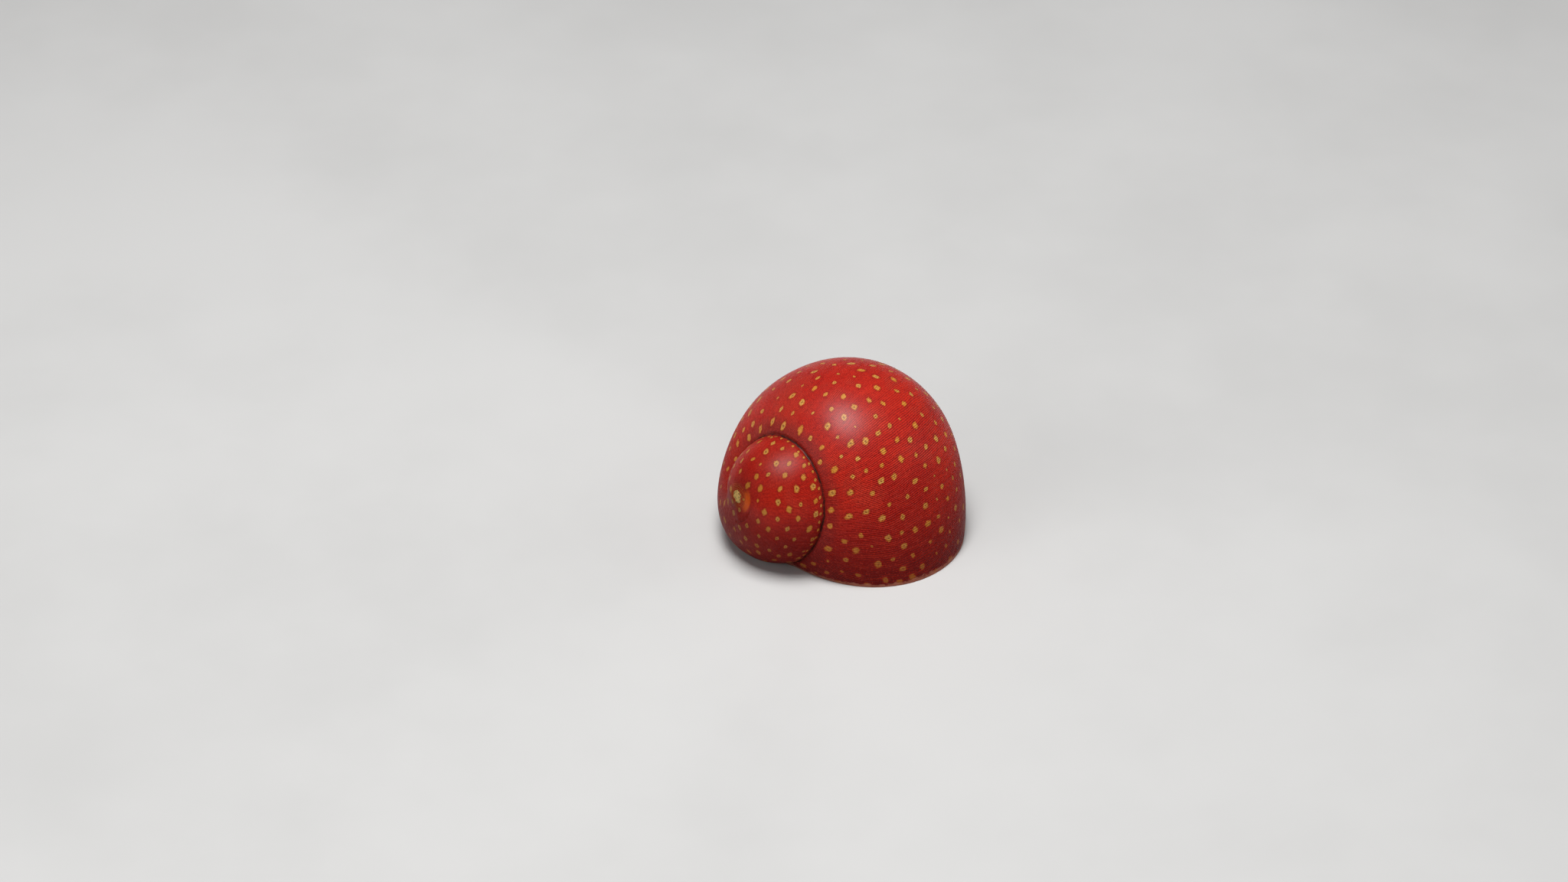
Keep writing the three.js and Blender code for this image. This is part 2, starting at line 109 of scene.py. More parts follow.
@dataclass(frozen=True)
class ShellFinish:
    """The painted shell: its colours in linear light, its relief and its coat."""

    name: str = "shell_red"
    ground: Colour = (0.47, 0.009, 0.003)
    ground_bright: Colour = (0.6, 0.018, 0.006)
    # deep: the colour towards the floor, partly the shell's own darker red and partly painted shade of light
    # that falls from above.
    deep: Colour = (0.1, 0.001, 0.001)
    # shade: painted shade in a darker band beside the suture's groove.
    shade: Colour = (0.13, 0.012, 0.01)
    streaks: tuple[Tone, ...] = (
        Tone((0.2, 0.003, 0.003), 0.1, 0.6, 0.12),
        Tone((0.75, 0.05, 0.02), -0.1, -0.6, 0.06),
    )
    leather: tuple[Tone, ...] = (
        Tone((0.22, 0.004, 0.003), 0.52, 0.72, 0.4),
        Tone((0.7, 0.04, 0.016), 0.46, 0.3, 0.2),
    )
    scratches: tuple[Tone, ...] = (
        Tone((0.8, 0.1, 0.05), 0.2, 0.9, 0.34),
        Tone((0.2, 0.004, 0.003), -0.2, -0.9, 0.4),
    )
    pores: tuple[Tone, ...] = (
        Tone((0.18, 0.003, 0.002), 0.52, 0.66, 0.42),
        Tone((0.74, 0.055, 0.022), 0.47, 0.34, 0.28),
    )
    halo: Tone = Tone((0.25, 0.004, 0.003), 1.9, 1.05, 0.45)
    spot: Colour = (0.68, 0.27, 0.03)
    spot_pale: Colour = (0.72, 0.4, 0.09)
    # The spots dim towards the floor, partly in their own colour and partly as painted shade.
    spot_dark_and_shaded: Colour = (0.25, 0.045, 0.006)
    rim: Tone = Tone((0.58, 0.13, 0.012), 0.55, 1.05, 1.0)
    mottle: Tone = Tone((0.4, 0.09, 0.01), 0.5, 0.66, 0.4)
    mark: Colour = (0.27, 0.07, 0.012)
    suture: Colour = (0.02, 0.007, 0.005)
    arc: Colour = (0.8, 0.12, 0.008)
    ring: Colour = (0.66, 0.24, 0.03)
    knob: Tone = Tone((0.85, 0.56, 0.17), 0.78, 0.9, 1.0)
    speck: Colour = (0.06, 0.025, 0.015)
    lip: Colour = (0.45, 0.16, 0.1)
    bump: float = 0.8
    relief: float = 0.0001
    specular: float = 0.07
    coat_roughness: float = 0.4


@dataclass(frozen=True)
class GrowthLines:
    """Fine lines across the whorl: how many to the radian, and how far they waver."""

    WARP_SCALE = 260.0
    SLANT = 40.0

    count: float
    wobble: float


FINE_LINES = GrowthLines(330.0, 26.0)
BROAD_LINES = GrowthLines(97.0, 22.0)
COLOUR_LINES = GrowthLines(61.0, 14.0)
SHELF_FINISH = Finish("shelf_cream", (0.82, 0.72, 0.52), (0.66, 0.5, 0.3), 0.28, 0.5, 900.0, 0.00002)
LID_FINISH = Finish("lid_grey", (0.2, 0.16, 0.12), (0.07, 0.05, 0.04), 0.42, 0.2, 1400.0, 0.00004)
FLESH_FINISH = Finish("flesh", (0.17, 0.14, 0.1), (0.03, 0.026, 0.023), 0.42, 0.35, 2100.0, 0.00012, 7500.0)
EYE_FINISH = Finish("eye_black", (0.012, 0.01, 0.01), (0.004, 0.004, 0.004), 0.1, 1.0, 400.0, 0.0)
FLOOR_FINISH = Finish("floor_pale", (0.6, 0.595, 0.585), (0.56, 0.555, 0.545), 0.62, 0.0, 40.0, 0.00001)


def smoothstep(value: np.ndarray | float, low: float, high: float) -> np.ndarray:
    """Rises smoothly from 0 at low to 1 at high."""
    share = np.clip((np.asarray(value, dtype=float) - low) / (high - low), 0.0, 1.0)
    return share * share * (3.0 - 2.0 * share)


def unit(vector: np.ndarray) -> np.ndarray:
    """The vector at length one, or each row of an array of vectors."""
    return vector / np.maximum(np.linalg.norm(vector, axis=-1, keepdims=True), 1e-9)


def quadratic(law: tuple[float, float, float], time: np.ndarray) -> np.ndarray:
    """A value that starts, grows and bends with time."""
    start, rate, bend = law
    return start + rate * time + bend * time**2


@dataclass(frozen=True)
class Shoulder:
    """Where the spire meets the last whorl: its turn and width, and what changes there."""

    turn: float = -0.925
    width: float = 0.153
    radius: float = -0.008
    offset: float = -0.007
    drop: float = -0.365


@dataclass(frozen=True)
class Flare:
    """How the outer lip spreads near the floor, about a middle measured from the apex."""

    x: float = 10.377
    y: float = 4.102
    reach: float = 2.834
    height: float = 8.224
    heading: float = -0.834
    half_width: float = 1.667


@dataclass(frozen=True)
class Dome:
    """The spire's rounded top, whose size follows the suture round the coil."""

    overhang: float = 1.061
    power: float = 2.1
    lift: float = 0.554
    suture_out: tuple[float, float, float] = (6.409, 4.135, 0.523)
    deepest: float = 3.975
    fall: float = -3.145
    deepest_turn: float = -0.409

    def size(self, azimuth: np.ndarray) -> tuple[np.ndarray, np.ndarray]:
        """The dome's half width and its depth in the half plane of a turn."""
        depth = self.deepest * np.exp(self.fall * (azimuth - self.deepest_turn) ** 2) / self.lift
        return self.overhang * quadratic(self.suture_out, azimuth), depth


@dataclass(frozen=True)
class CoilLaw:
    """The law of the coil in millimetres; a turn of 0 is the floor side of the lip."""

    apex: tuple[float, float, float] = (-8.412, -6.624, 6.98)
    azimuth: float = math.radians(218.3)
    rise: float = math.radians(11.8)
    whorl_radius: float = 6.538
    stretch: float = 0.921
    lean: float = -0.168
    power: float = 2.15
    growth: tuple[float, float] = (0.406, -0.435)
    offset: tuple[float, float, float] = (0.456, -0.338, 0.109)
    drop: tuple[float, float, float] = (1.695, -0.06, -0.814)
    shoulder: Shoulder = Shoulder()
    closing_turn: float = -0.343
    closing_rise: float = 9.529
    flare: Flare = Flare()
    dome: Dome = Dome()
    core_depth: float = 10.0
    core_radius: float = 5.4
    first_turn: float = -1.001
    last_turn: float = -1e-6
    middle: float = 6.5

    def frame(self) -> tuple[np.ndarray, np.ndarray, np.ndarray]:
        """The coil's floorward direction, its sideways direction and its axis out of the apex.

        Returns:
            Three unit vectors.
        """
        axis = np.array([
            math.cos(self.azimuth) * math.cos(self.rise),
            math.sin(self.azimuth) * math.cos(self.rise),
            math.sin(self.rise),
        ])
        floorward = unit(np.array([0.0, 0.0, -1.0]) + axis * axis[2])
        return floorward, np.cross(axis, floorward), axis

    def whorl(self, turn: np.ndarray) -> tuple[np.ndarray, ...]:
        """Size and place of the whorl's section.

        Args:
            turn: The turns at which the section lies.

        Returns:
            Offset, drop, half width, and half height towards the apex and the base.
        """
        time = turn + 0.5
        late = np.maximum(time, -1.0)
        early = np.minimum(time + 1.0, 0.0)
        at_shoulder = np.exp(-(((turn - self.shoulder.turn) / self.shoulder.width) ** 2))
        rate, bend = self.growth
        growth = rate * late + bend * late**2 + early * (rate - 2.0 * bend)
        radius = self.whorl_radius * np.exp(growth + self.shoulder.radius * at_shoulder)
        closing = self.closing_rise * np.maximum(turn - self.closing_turn, 0.0) ** 2
        return (
            radius * (quadratic(self.offset, late) + self.shoulder.offset * at_shoulder),
            radius * (quadratic(self.drop, late) + self.shoulder.drop * at_shoulder),
            radius * self.stretch,
            radius / self.stretch + closing,
            radius / self.stretch,
        )

    def in_whorl(self, turn: np.ndarray, out: np.ndarray, down: np.ndarray) -> np.ndarray:
        """Whether places in the half plane of a turn lie within the whorl there."""
        offset, drop, half_width, apexward, baseward = self.whorl(turn)
        dx = out - offset
        dy = down - drop
        across = dx * math.cos(self.lean) + dy * math.sin(self.lean)
        along = dy * math.cos(self.lean) - dx * math.sin(self.lean)
        inward = np.where(across < 0.0, np.maximum(offset / half_width, 1.0), 1.0)
        high = np.where(along < 0.0, apexward, baseward)
        x = np.abs(across / (half_width * inward)) ** self.power
        return x + np.abs(along / high) ** self.power <= 1.0

    def in_dome(self, azimuth: np.ndarray, out: np.ndarray, down: np.ndarray) -> np.ndarray:
        """Whether places lie within the spire's rounded top."""
        width, depth = self.dome.size(azimuth)
        high = np.abs((depth - down) / depth) ** self.dome.power
        return np.abs(out / width) ** self.dome.power + high <= 1.0

    def covered(self, azimuth: np.ndarray, out: np.ndarray, down: np.ndarray) -> np.ndarray:
        """Whether places lie within anything that the half plane holds, the dome apart."""
        inside = np.hypot(out, down - self.core_depth) <= self.core_radius
        for step, side in ((0.0, 1.0), (0.5, -1.0), (-0.5, -1.0), (1.0, 1.0)):
            turn = azimuth + step
            kept = (turn < self.last_turn) & (turn > self.first_turn)
            inside = inside | (kept & self.in_whorl(turn, side * out, down))
        return inside

    def to_world(self, azimuth: np.ndarray, out: np.ndarray, down: np.ndarray) -> np.ndarray:
        """Places in the row frame, in millimetres, from the coil's own coordinates."""
        floorward, sideways, axis = self.frame()
        angle = 2.0 * math.pi * azimuth
        return (
            np.array(self.apex)
            + (out * np.cos(angle))[..., None] * floorward
            - (out * np.sin(angle))[..., None] * sideways
            - down[..., None] * axis
        )

    def flared(self, points: np.ndarray) -> np.ndarray:
        """Spreads places outwards near the floor on the side of the outer lip."""
        flare = self.flare
        dx = points[..., 0] - self.apex[0] - flare.x
        dy = points[..., 1] - self.apex[1] - flare.y
        turned = np.arctan2(dy, dx) - flare.heading
        bearing = np.arctan2(np.sin(turned), np.cos(turned))
        facing = np.cos(bearing / flare.half_width * math.pi / 2.0)
        side = np.where(np.abs(bearing) < flare.half_width, facing, 0.0)
        low = np.clip(1.0 - points[..., 2] / flare.height, 0.0, 1.0) ** 2
        shift = flare.reach * side * low / np.maximum(np.hypot(dx, dy), 1e-6)
        moved = points.copy()
        moved[..., 0] += dx * shift
        moved[..., 1] += dy * shift
        return moved


@dataclass
class ShellGrid:
    """The shell's surface as rays from the middle of the coil, by row and column."""

    POLE = 0.012
    SHORTEST = 0.2
    LONGEST = 20.0
    STRIDE = 0.25
    HALVINGS = 10
    SUTURE_WINDOW = 5
    BLUR_SPAN = 2.5

    law: CoilLaw
    columns: int = 400
    rows: int = 236
    azimuth: np.ndarray = field(init=False)
    latitude: np.ndarray = field(init=False)
    reach: np.ndarray = field(init=False)
    suture: np.ndarray = field(init=False)

    def __post_init__(self) -> None:
        """Sends out the rays."""
        self.azimuth = (np.arange(self.columns) / self.columns - 1.0)[:, None]
        steps = np.pi * np.arange(self.rows + 1) / self.rows
        self.latitude = np.clip(steps, self.POLE, np.pi - self.POLE)[None, :]
        whorls = self._exits(self.law.covered)
        dome = self._exits(self.law.in_dome)
        self.suture = self._suture_latitude(whorls, dome)
        self.reach = self._eased(np.maximum(whorls, dome))

    def _exits(self, test: Callable[..., np.ndarray]) -> np.ndarray:
        """How far each ray runs before it leaves what the test covers."""
        sin, cos = np.sin(self.latitude), np.cos(self.latitude)

        def within(reach: np.ndarray) -> np.ndarray:
            """Whether the rays' places at a reach are covered."""
            return test(self.azimuth, reach * sin, self.law.middle - reach * cos)

        inner = np.full((self.columns, self.rows + 1), self.SHORTEST)
        found = np.zeros(inner.shape, dtype=bool)
        for step in np.arange(self.LONGEST, self.SHORTEST, -self.STRIDE):
            hit = within(np.full(inner.shape, step)) & ~found
            inner[hit] = step
            found |= hit
        outer = inner + self.STRIDE
        for _ in range(self.HALVINGS):
            middle = (inner + outer) / 2.0
            hit = within(middle)
            inner = np.where(hit, middle, inner)
            outer = np.where(hit, outer, middle)
        return inner

    def _suture_latitude(self, whorls: np.ndarray, dome: np.ndarray) -> np.ndarray:
        """The latitude at which the dome dips below the last whorl, for each column."""
        above = (whorls > dome + 0.002) & (self.latitude > 0.2) & (self.latitude < 1.9)
        first = np.where(above.any(axis=1), above.argmax(axis=1), 0)
        latitude = self.latitude[0][first]
        window = self.SUTURE_WINDOW
        padded = np.concatenate([latitude[:1].repeat(window), latitude, latitude[-1:].repeat(window)])
        kernel = np.ones(2 * window + 1) / (2 * window + 1)
        return np.convolve(padded, kernel, mode="valid")[:, None]

    def _blurred(self, reach: np.ndarray, columns: float, rows: float) -> np.ndarray:
        """The reach smoothed over so many columns and rows."""
        for axis, width in enumerate((columns, rows)):
            span = int(width * self.BLUR_SPAN)
            margin = [(0, 0), (0, 0)]
            margin[axis] = (span, span)
            padded = np.pad(reach, margin, mode="reflect" if axis else "wrap")
            weights = np.exp(-0.5 * (np.arange(-span, span + 1) / width) ** 2)
            shifts = [np.roll(padded, -i, axis=axis) for i in range(2 * span + 1)]
            total = sum(weight * shifted for weight, shifted in zip(weights, shifts))
            reach = total[:self.columns, :self.rows + 1] / weights.sum()
        return reach

    def _eased(self, reach: np.ndarray) -> np.ndarray:
        """Eases the surface at the base, where the last whorl closes on the first, and beside the apex."""
        fine = self._blurred(reach, 1.4, 1.2)
        soft = self._blurred(reach, self.columns / 55.0, self.rows / 35.0)
        softer = self._blurred(reach, self.columns / 26.0, self.rows / 20.0)
        from_closing = np.minimum(self.azimuth + 1.0, -self.azimuth)
        at_base = smoothstep(self.latitude, 1.2, 1.6) * (1.0 - smoothstep(from_closing, 0.08, 0.2))
        eased = fine + (soft - fine) * at_base
        closing = 1.0 - smoothstep(self.azimuth, -0.9, -0.74)
        by_closing = np.maximum(closing, smoothstep(self.azimuth, -0.05, 0.0))
        on_spire = smoothstep(self.latitude, 0.1, 0.3) * (1.0 - smoothstep(self.latitude, 1.0, 1.4))
        return eased + (softer - eased) * by_closing * on_spire

    def points(self) -> np.ndarray:
        """Every place of the grid in the row frame, in millimetres."""
        reach = self.reach.copy()
        reach[:, 0] = reach[:, 0].mean()
        reach[:, -1] = reach[:, -1].mean()
        latitude = np.array([0.0, *self.latitude[0][1:-1], math.pi])[None, :]
        out = reach * np.sin(latitude)
        down = self.law.middle - reach * np.cos(latitude)
        return self.law.flared(self.law.to_world(self.azimuth + 0.0 * out, out, down))


@dataclass
class Mouth:
    """The mouth of the shell: its rim as reaches from its middle, in millimetres."""

    WINDOW = 0.09
    EASINGS = 18
    SHORTEST = 0.4

    law: CoilLaw
    centre: np.ndarray = field(init=False)
    heading: float = field(init=False)
    gaze: float = field(init=False)
    columella: float = field(init=False)
    rim: np.ndarray = field(init=False)
    from_apex: tuple[float, float] = (10.3, 4.0)
    gaze_turn: float = 0.48
    columella_turn: float = 1.75
    front: float = 7.95
    wall: float = 0.9
    back: float = 6.3
    ahead: float = 7.6
    points: int = 96
    arch_height: float = 3.3
    arch_half_width: float = 3.2
    arch_start: float = 4.6
    arch_full: float = 3.2

    def __post_init__(self) -> None:
        """Places the mouth below the shell."""
        self.centre = np.array(self.law.apex[:2]) + np.array(self.from_apex)
        self.heading = self.law.azimuth - math.pi
        self.gaze = self.heading + self.gaze_turn
        self.columella = self.heading + self.columella_turn
        self.rim = np.full(self.points, self.back)

    def bearings(self) -> np.ndarray:
        """The directions in which the rim is measured, from the gaze round to the left."""
        return self.gaze + np.arange(self.points) / self.points * 2.0 * math.pi

    def measure(self, edge: np.ndarray) -> None:
        """Takes the rim from the places where the shell meets the floor.

        Args:
            edge: Places on the shell's lower edge, in millimetres.
        """
        from_centre = edge[:, :2] - self.centre
        reach = np.hypot(from_centre[:, 0], from_centre[:, 1])
        bearing = np.arctan2(from_centre[:, 1], from_centre[:, 0])
        ahead = np.maximum(np.cos(self.bearings() - self.heading), 0.0) ** 2
        longest = self.back + (self.ahead - self.back) * ahead
        for i, direction in enumerate(self.bearings()):
            turned = np.abs(np.arctan2(np.sin(bearing - direction), np.cos(bearing - direction)))
            near = reach[turned < self.WINDOW]
            nearest = near.min() if len(near) else reach[turned.argmin()]
            self.rim[i] = min(nearest, longest[i])
        raw = self.rim.copy()
        for _ in range(self.EASINGS):
            mean = (np.roll(self.rim, 1) + np.roll(self.rim, -1)) / 2.0
            self.rim = np.minimum((self.rim + mean) / 2.0, raw)

    def place(self, forward: float, left: float, up: float) -> Vector:
        """A place measured from the middle of the mouth, forwards and to the animal's left."""
        c, s = math.cos(self.gaze), math.sin(self.gaze)
        return Vector((
            self.centre[0] + forward * c - left * s,
            self.centre[1] + forward * s + left * c,
            up,
        ))

    def ring(self, height: float, inset: float, shape: Callable[..., float] | None = None) -> list[Vector]:
        """A ring that follows the rim at a distance inside it.

        Args:
            height: The ring's height above the floor.
            inset: The distance inside the rim.
            shape: An optional function of reach and bearing that gives the reach to use.

        Returns:
            The ring's places.
        """
        places = []
        for reach, bearing in zip(self.rim - inset, self.bearings()):
            length = max(shape(reach, bearing) if shape else reach, self.SHORTEST)
            places.append(Vector((
                self.centre[0] + length * math.cos(bearing),
                self.centre[1] + length * math.sin(bearing),
                height,
            )))
        return places

    def rim_towards(self, bearing: float) -> float:
        """The rim's reach in one direction."""
        along = ((bearing - self.gaze) / (2.0 * math.pi) * self.points) % self.points
        first = int(along) % self.points
        share = along - int(along)
        return float(self.rim[first] * (1.0 - share) + self.rim[(first + 1) % self.points] * share)

    def arch(self, x: np.ndarray, y: np.ndarray) -> np.ndarray:
        """How far the lifted rim over the head stands above the floor."""
        c, s = math.cos(self.gaze), math.sin(self.gaze)
        dx, dy = x - self.centre[0], y - self.centre[1]
        forward = dx * c + dy * s
        left = dy * c - dx * s
        across = np.clip(1.0 - (left / self.arch_half_width) ** 2, 0.0, 1.0)
        onset = smoothstep(forward, self.front - self.arch_start, self.front - self.arch_full)
        return self.arch_height * across * onset


def add_ring(bm: bmesh.types.BMesh, places: list[Vector]) -> list[bmesh.types.BMEdge]:
    """Adds a closed ring of edges through the places.

    Args:
        bm: The mesh that takes the ring.
        places: The ring's corners in order.

    Returns:
        The ring's edges.
    """
    made = bmesh.ops.create_circle(bm, cap_ends=False, segments=len(places), radius=1.0)
    verts = sorted(made["verts"], key=lambda v: math.atan2(v.co.y, v.co.x))
    for vert, place in zip(verts, places):
        vert.co = place
    return list({edge for vert in verts for edge in vert.link_edges})


def loft(bm: bmesh.types.BMesh, rings: list[list[Vector]]) -> None:
    """Skins a list of rings with the same number of corners and closes both ends."""
    edges = [add_ring(bm, ring) for ring in rings]
    for lower, upper in zip(edges, edges[1:]):
        bmesh.ops.bridge_loops(bm, edges=lower + upper)
    for end in (edges[0], edges[-1]):
        bmesh.ops.contextual_create(bm, geom=end)
    bmesh.ops.recalc_face_normals(bm, faces=bm.faces[:])


def tube(mouth: Mouth, stations: list[tuple[float, ...]], around: int = 28) -> list[list[Vector]]:
    """Oval rings along the animal's heading.

    Args:
        mouth: The mouth that the places are measured from.
        stations: For each ring its forward, left, up, half width, half height and turn.
        around: The number of corners in a ring.

    Returns:
        The rings.
    """
    rings = []
    for forward, left, up, wide, high, turn in stations:
        ring = []
        for i in range(around):
            angle = 2.0 * math.pi * i / around
            x = math.cos(angle) * wide
            y = math.sin(angle) * high
            ring.append(mouth.place(forward - x * math.sin(turn), left + x * math.cos(turn), up + y))
        rings.append(ring)
    return rings


def finished_object(
    name: str, bm: bmesh.types.BMesh, materials: list[bpy.types.Material],
) -> bpy.types.Object:
    """Turns a mesh in millimetres into a smooth object in metres.

    Args:
        name: The object's name.
        bm: The mesh, which is freed.
        materials: The materials in the order of the faces' indices.

    Returns:
        The object, linked into the scene.
    """
    bmesh.ops.scale(bm, vec=(MM, MM, MM), verts=bm.verts[:])
    for face in bm.faces:
        face.smooth = True
    mesh = bpy.data.meshes.new(name)
    bm.to_mesh(mesh)
    bm.free()
    for material in materials:
        mesh.materials.append(material)
    made = bpy.data.objects.new(name, mesh)
    bpy.context.scene.collection.objects.link(made)
    LOG.info("%s: %d faces", name, len(mesh.polygons))
    return made


# Materials


class Sheet:
    """A small writer of shader nodes in one node tree."""

    def __init__(self, tree: bpy.types.NodeTree) -> None:
        """Takes the tree to write in."""
        self.tree = tree

    def add(self, kind: str, **settings: str | bpy.types.NodeTree) -> bpy.types.Node:
        """Adds a node and sets its own settings."""
        node = self.tree.nodes.new(kind)
        for key, value in settings.items():
            setattr(node, key, value)
        return node

    def feed(self, socket: Socket, value: Value) -> None:
        """Links a socket to another or sets it to a constant."""
        if isinstance(value, Socket):
            self.tree.links.new(value, socket)
        else:
            socket.default_value = value

    def _filled(self, kind: str, operation: str, values: tuple[Value, ...]) -> bpy.types.Node:
        """Adds a node of arithmetic and feeds its inputs in order."""
        node = self.add(kind, operation=operation)
        for socket, value in zip(node.inputs, values):
            self.feed(socket, value)
        return node

    def math(self, operation: str, *values: Value) -> Socket:
        """One step of arithmetic."""
        return self._filled("ShaderNodeMath", operation, values).outputs[0]

    def plus(self, first: Value, second: Value) -> Socket:
        """The sum of two values."""
        return self.math("ADD", first, second)

    def times(self, first: Value, second: Value) -> Socket:
        """The product of two values."""
        return self.math("MULTIPLY", first, second)

    def minus(self, first: Value, second: Value) -> Socket:
        """The difference of two values."""
        return self.math("SUBTRACT", first, second)

    def vector(self, operation: str, *values: Value) -> bpy.types.Node:
        """One step of vector arithmetic."""
        return self._filled("ShaderNodeVectorMath", operation, values)

    def dot(self, first: Value, second: Value) -> Socket:
        """How far one vector reaches along another."""
        return self.vector("DOT_PRODUCT", first, second).outputs["Value"]

    def ramp(self, value: Value, low: float, high: float, to: tuple[float, float] = (0.0, 1.0)) -> Socket:
        """Maps a range smoothly onto another."""
        node = self.add("ShaderNodeMapRange", interpolation_type="SMOOTHSTEP")
        self.feed(node.inputs["Value"], value)
        for label, limit in zip(("From Min", "From Max", "To Min", "To Max"), (low, high, *to)):
            node.inputs[label].default_value = limit
        return node.outputs["Result"]

    def noise(self, place: Socket, scale: Value, detail: float = 3.0, roughness: float = 0.55) -> Socket:
        """Noise at so many cells to the metre."""
        node = self.add("ShaderNodeTexNoise")
        self.feed(node.inputs["Vector"], place)
        self.feed(node.inputs["Scale"], scale)
        node.inputs["Detail"].default_value = detail
        node.inputs["Roughness"].default_value = roughness
        return node.outputs["Fac"]

    def wander(self, place: Socket, scale: float, width: float, detail: float, roughness: float) -> Socket:
        """Noise about zero, so wide from one end of its range to the other."""
        return self.times(self.minus(self.noise(place, scale, detail, roughness), NOISE_MIDDLE), width)

    def mix(self, share: Value, first: Value, second: Value) -> Socket:
        """A mix of two colours."""
        node = self.add("ShaderNodeMix", data_type="RGBA")
        for index, value in ((0, share), (6, first), (7, second)):
            self.feed(node.inputs[index], value)
        return node.outputs[2]

    def tint(self, base: Value, value: Value, tone: Tone) -> Socket:
        """Lays a tone over a colour where the value calls for it."""
        share = self.ramp(value, tone.start, tone.full, (0.0, tone.share))
        return self.mix(share, base, rgba(tone.colour))

    def layer(self, layer: Layer) -> Socket:
        """A value that the mesh carries."""
        return self.add("ShaderNodeAttribute", attribute_name=layer.value).outputs["Fac"]

    def place(self) -> Socket:
        """The place on the object."""
        return self.add("ShaderNodeTexCoord").outputs["Object"]


def rgba(colour: Colour) -> tuple[float, float, float, float]:
    """A colour with full cover."""
    return (*colour, 1.0)


class EffectGroup:
    """A node group for one effect, with named inputs and outputs."""

    def __init__(self, name: str, outputs: dict[str, str], inputs: dict[str, str] | None = None) -> None:
        """Makes the group.

        Args:
            name: The group's name.
            outputs: The kind of socket for each output's name.
            inputs: The same for the inputs, if it has any.
        """
        self.tree = bpy.data.node_groups.new(name, "ShaderNodeTree")
        for way, sockets in (("OUTPUT", outputs), ("INPUT", inputs or {})):
            for label, kind in sockets.items():
                self.tree.interface.new_socket(name=label, in_out=way, socket_type=kind)
        self.sheet = Sheet(self.tree)
        self.output = self.sheet.add("NodeGroupOutput")
        self.input = self.sheet.add("NodeGroupInput") if inputs else None

    def take(self, label: str) -> Socket:
        """The value that a material hands to one of the group's inputs."""
        return self.input.outputs[label]

    def give(self, label: str, value: Value) -> None:
        """Sends a value to one of the group's outputs."""
        self.sheet.feed(self.output.inputs[label], value)


def growth_angle(sheet: Sheet, law: CoilLaw) -> tuple[Socket, Socket, Socket]:
    """Places on the shell in the coil's own terms.

    Args:
        sheet: The tree that takes the nodes.
        law: The coil's law.

    Returns:
        The angle round the axis, the distance from it and the depth below the apex, in metres.
    """
    floorward, sideways, axis = law.frame()
    apex = tuple(v * MM for v in law.apex)
    from_apex = sheet.vector("SUBTRACT", sheet.place(), apex).outputs[0]
    x = sheet.dot(from_apex, tuple(floorward))
    y = sheet.dot(from_apex, tuple(-sideways))
    down = sheet.dot(from_apex, tuple(-axis))
    out = sheet.math("SQRT", sheet.plus(sheet.times(x, x), sheet.times(y, y)))
    return sheet.math("ARCTAN2", y, x), out, down


def growth_lines(sheet: Sheet, law: CoilLaw, lines: GrowthLines) -> Socket:
    """Fine lines across the whorl, slanted back from the suture.

    Args:
        sheet: The tree that takes the nodes.
        law: The coil's law.
        lines: The lines' number and waver.

    Returns:
        A wave from -1 to 1.
    """
    angle, _, down = growth_angle(sheet, law)
    warp = sheet.noise(sheet.place(), GrowthLines.WARP_SCALE, 2.0)
    lean = sheet.times(down, GrowthLines.SLANT)
    phase = sheet.plus(sheet.times(angle, lines.count), sheet.times(lean, lines.count))
    return sheet.math("SINE", sheet.plus(phase, sheet.times(warp, lines.wobble)))


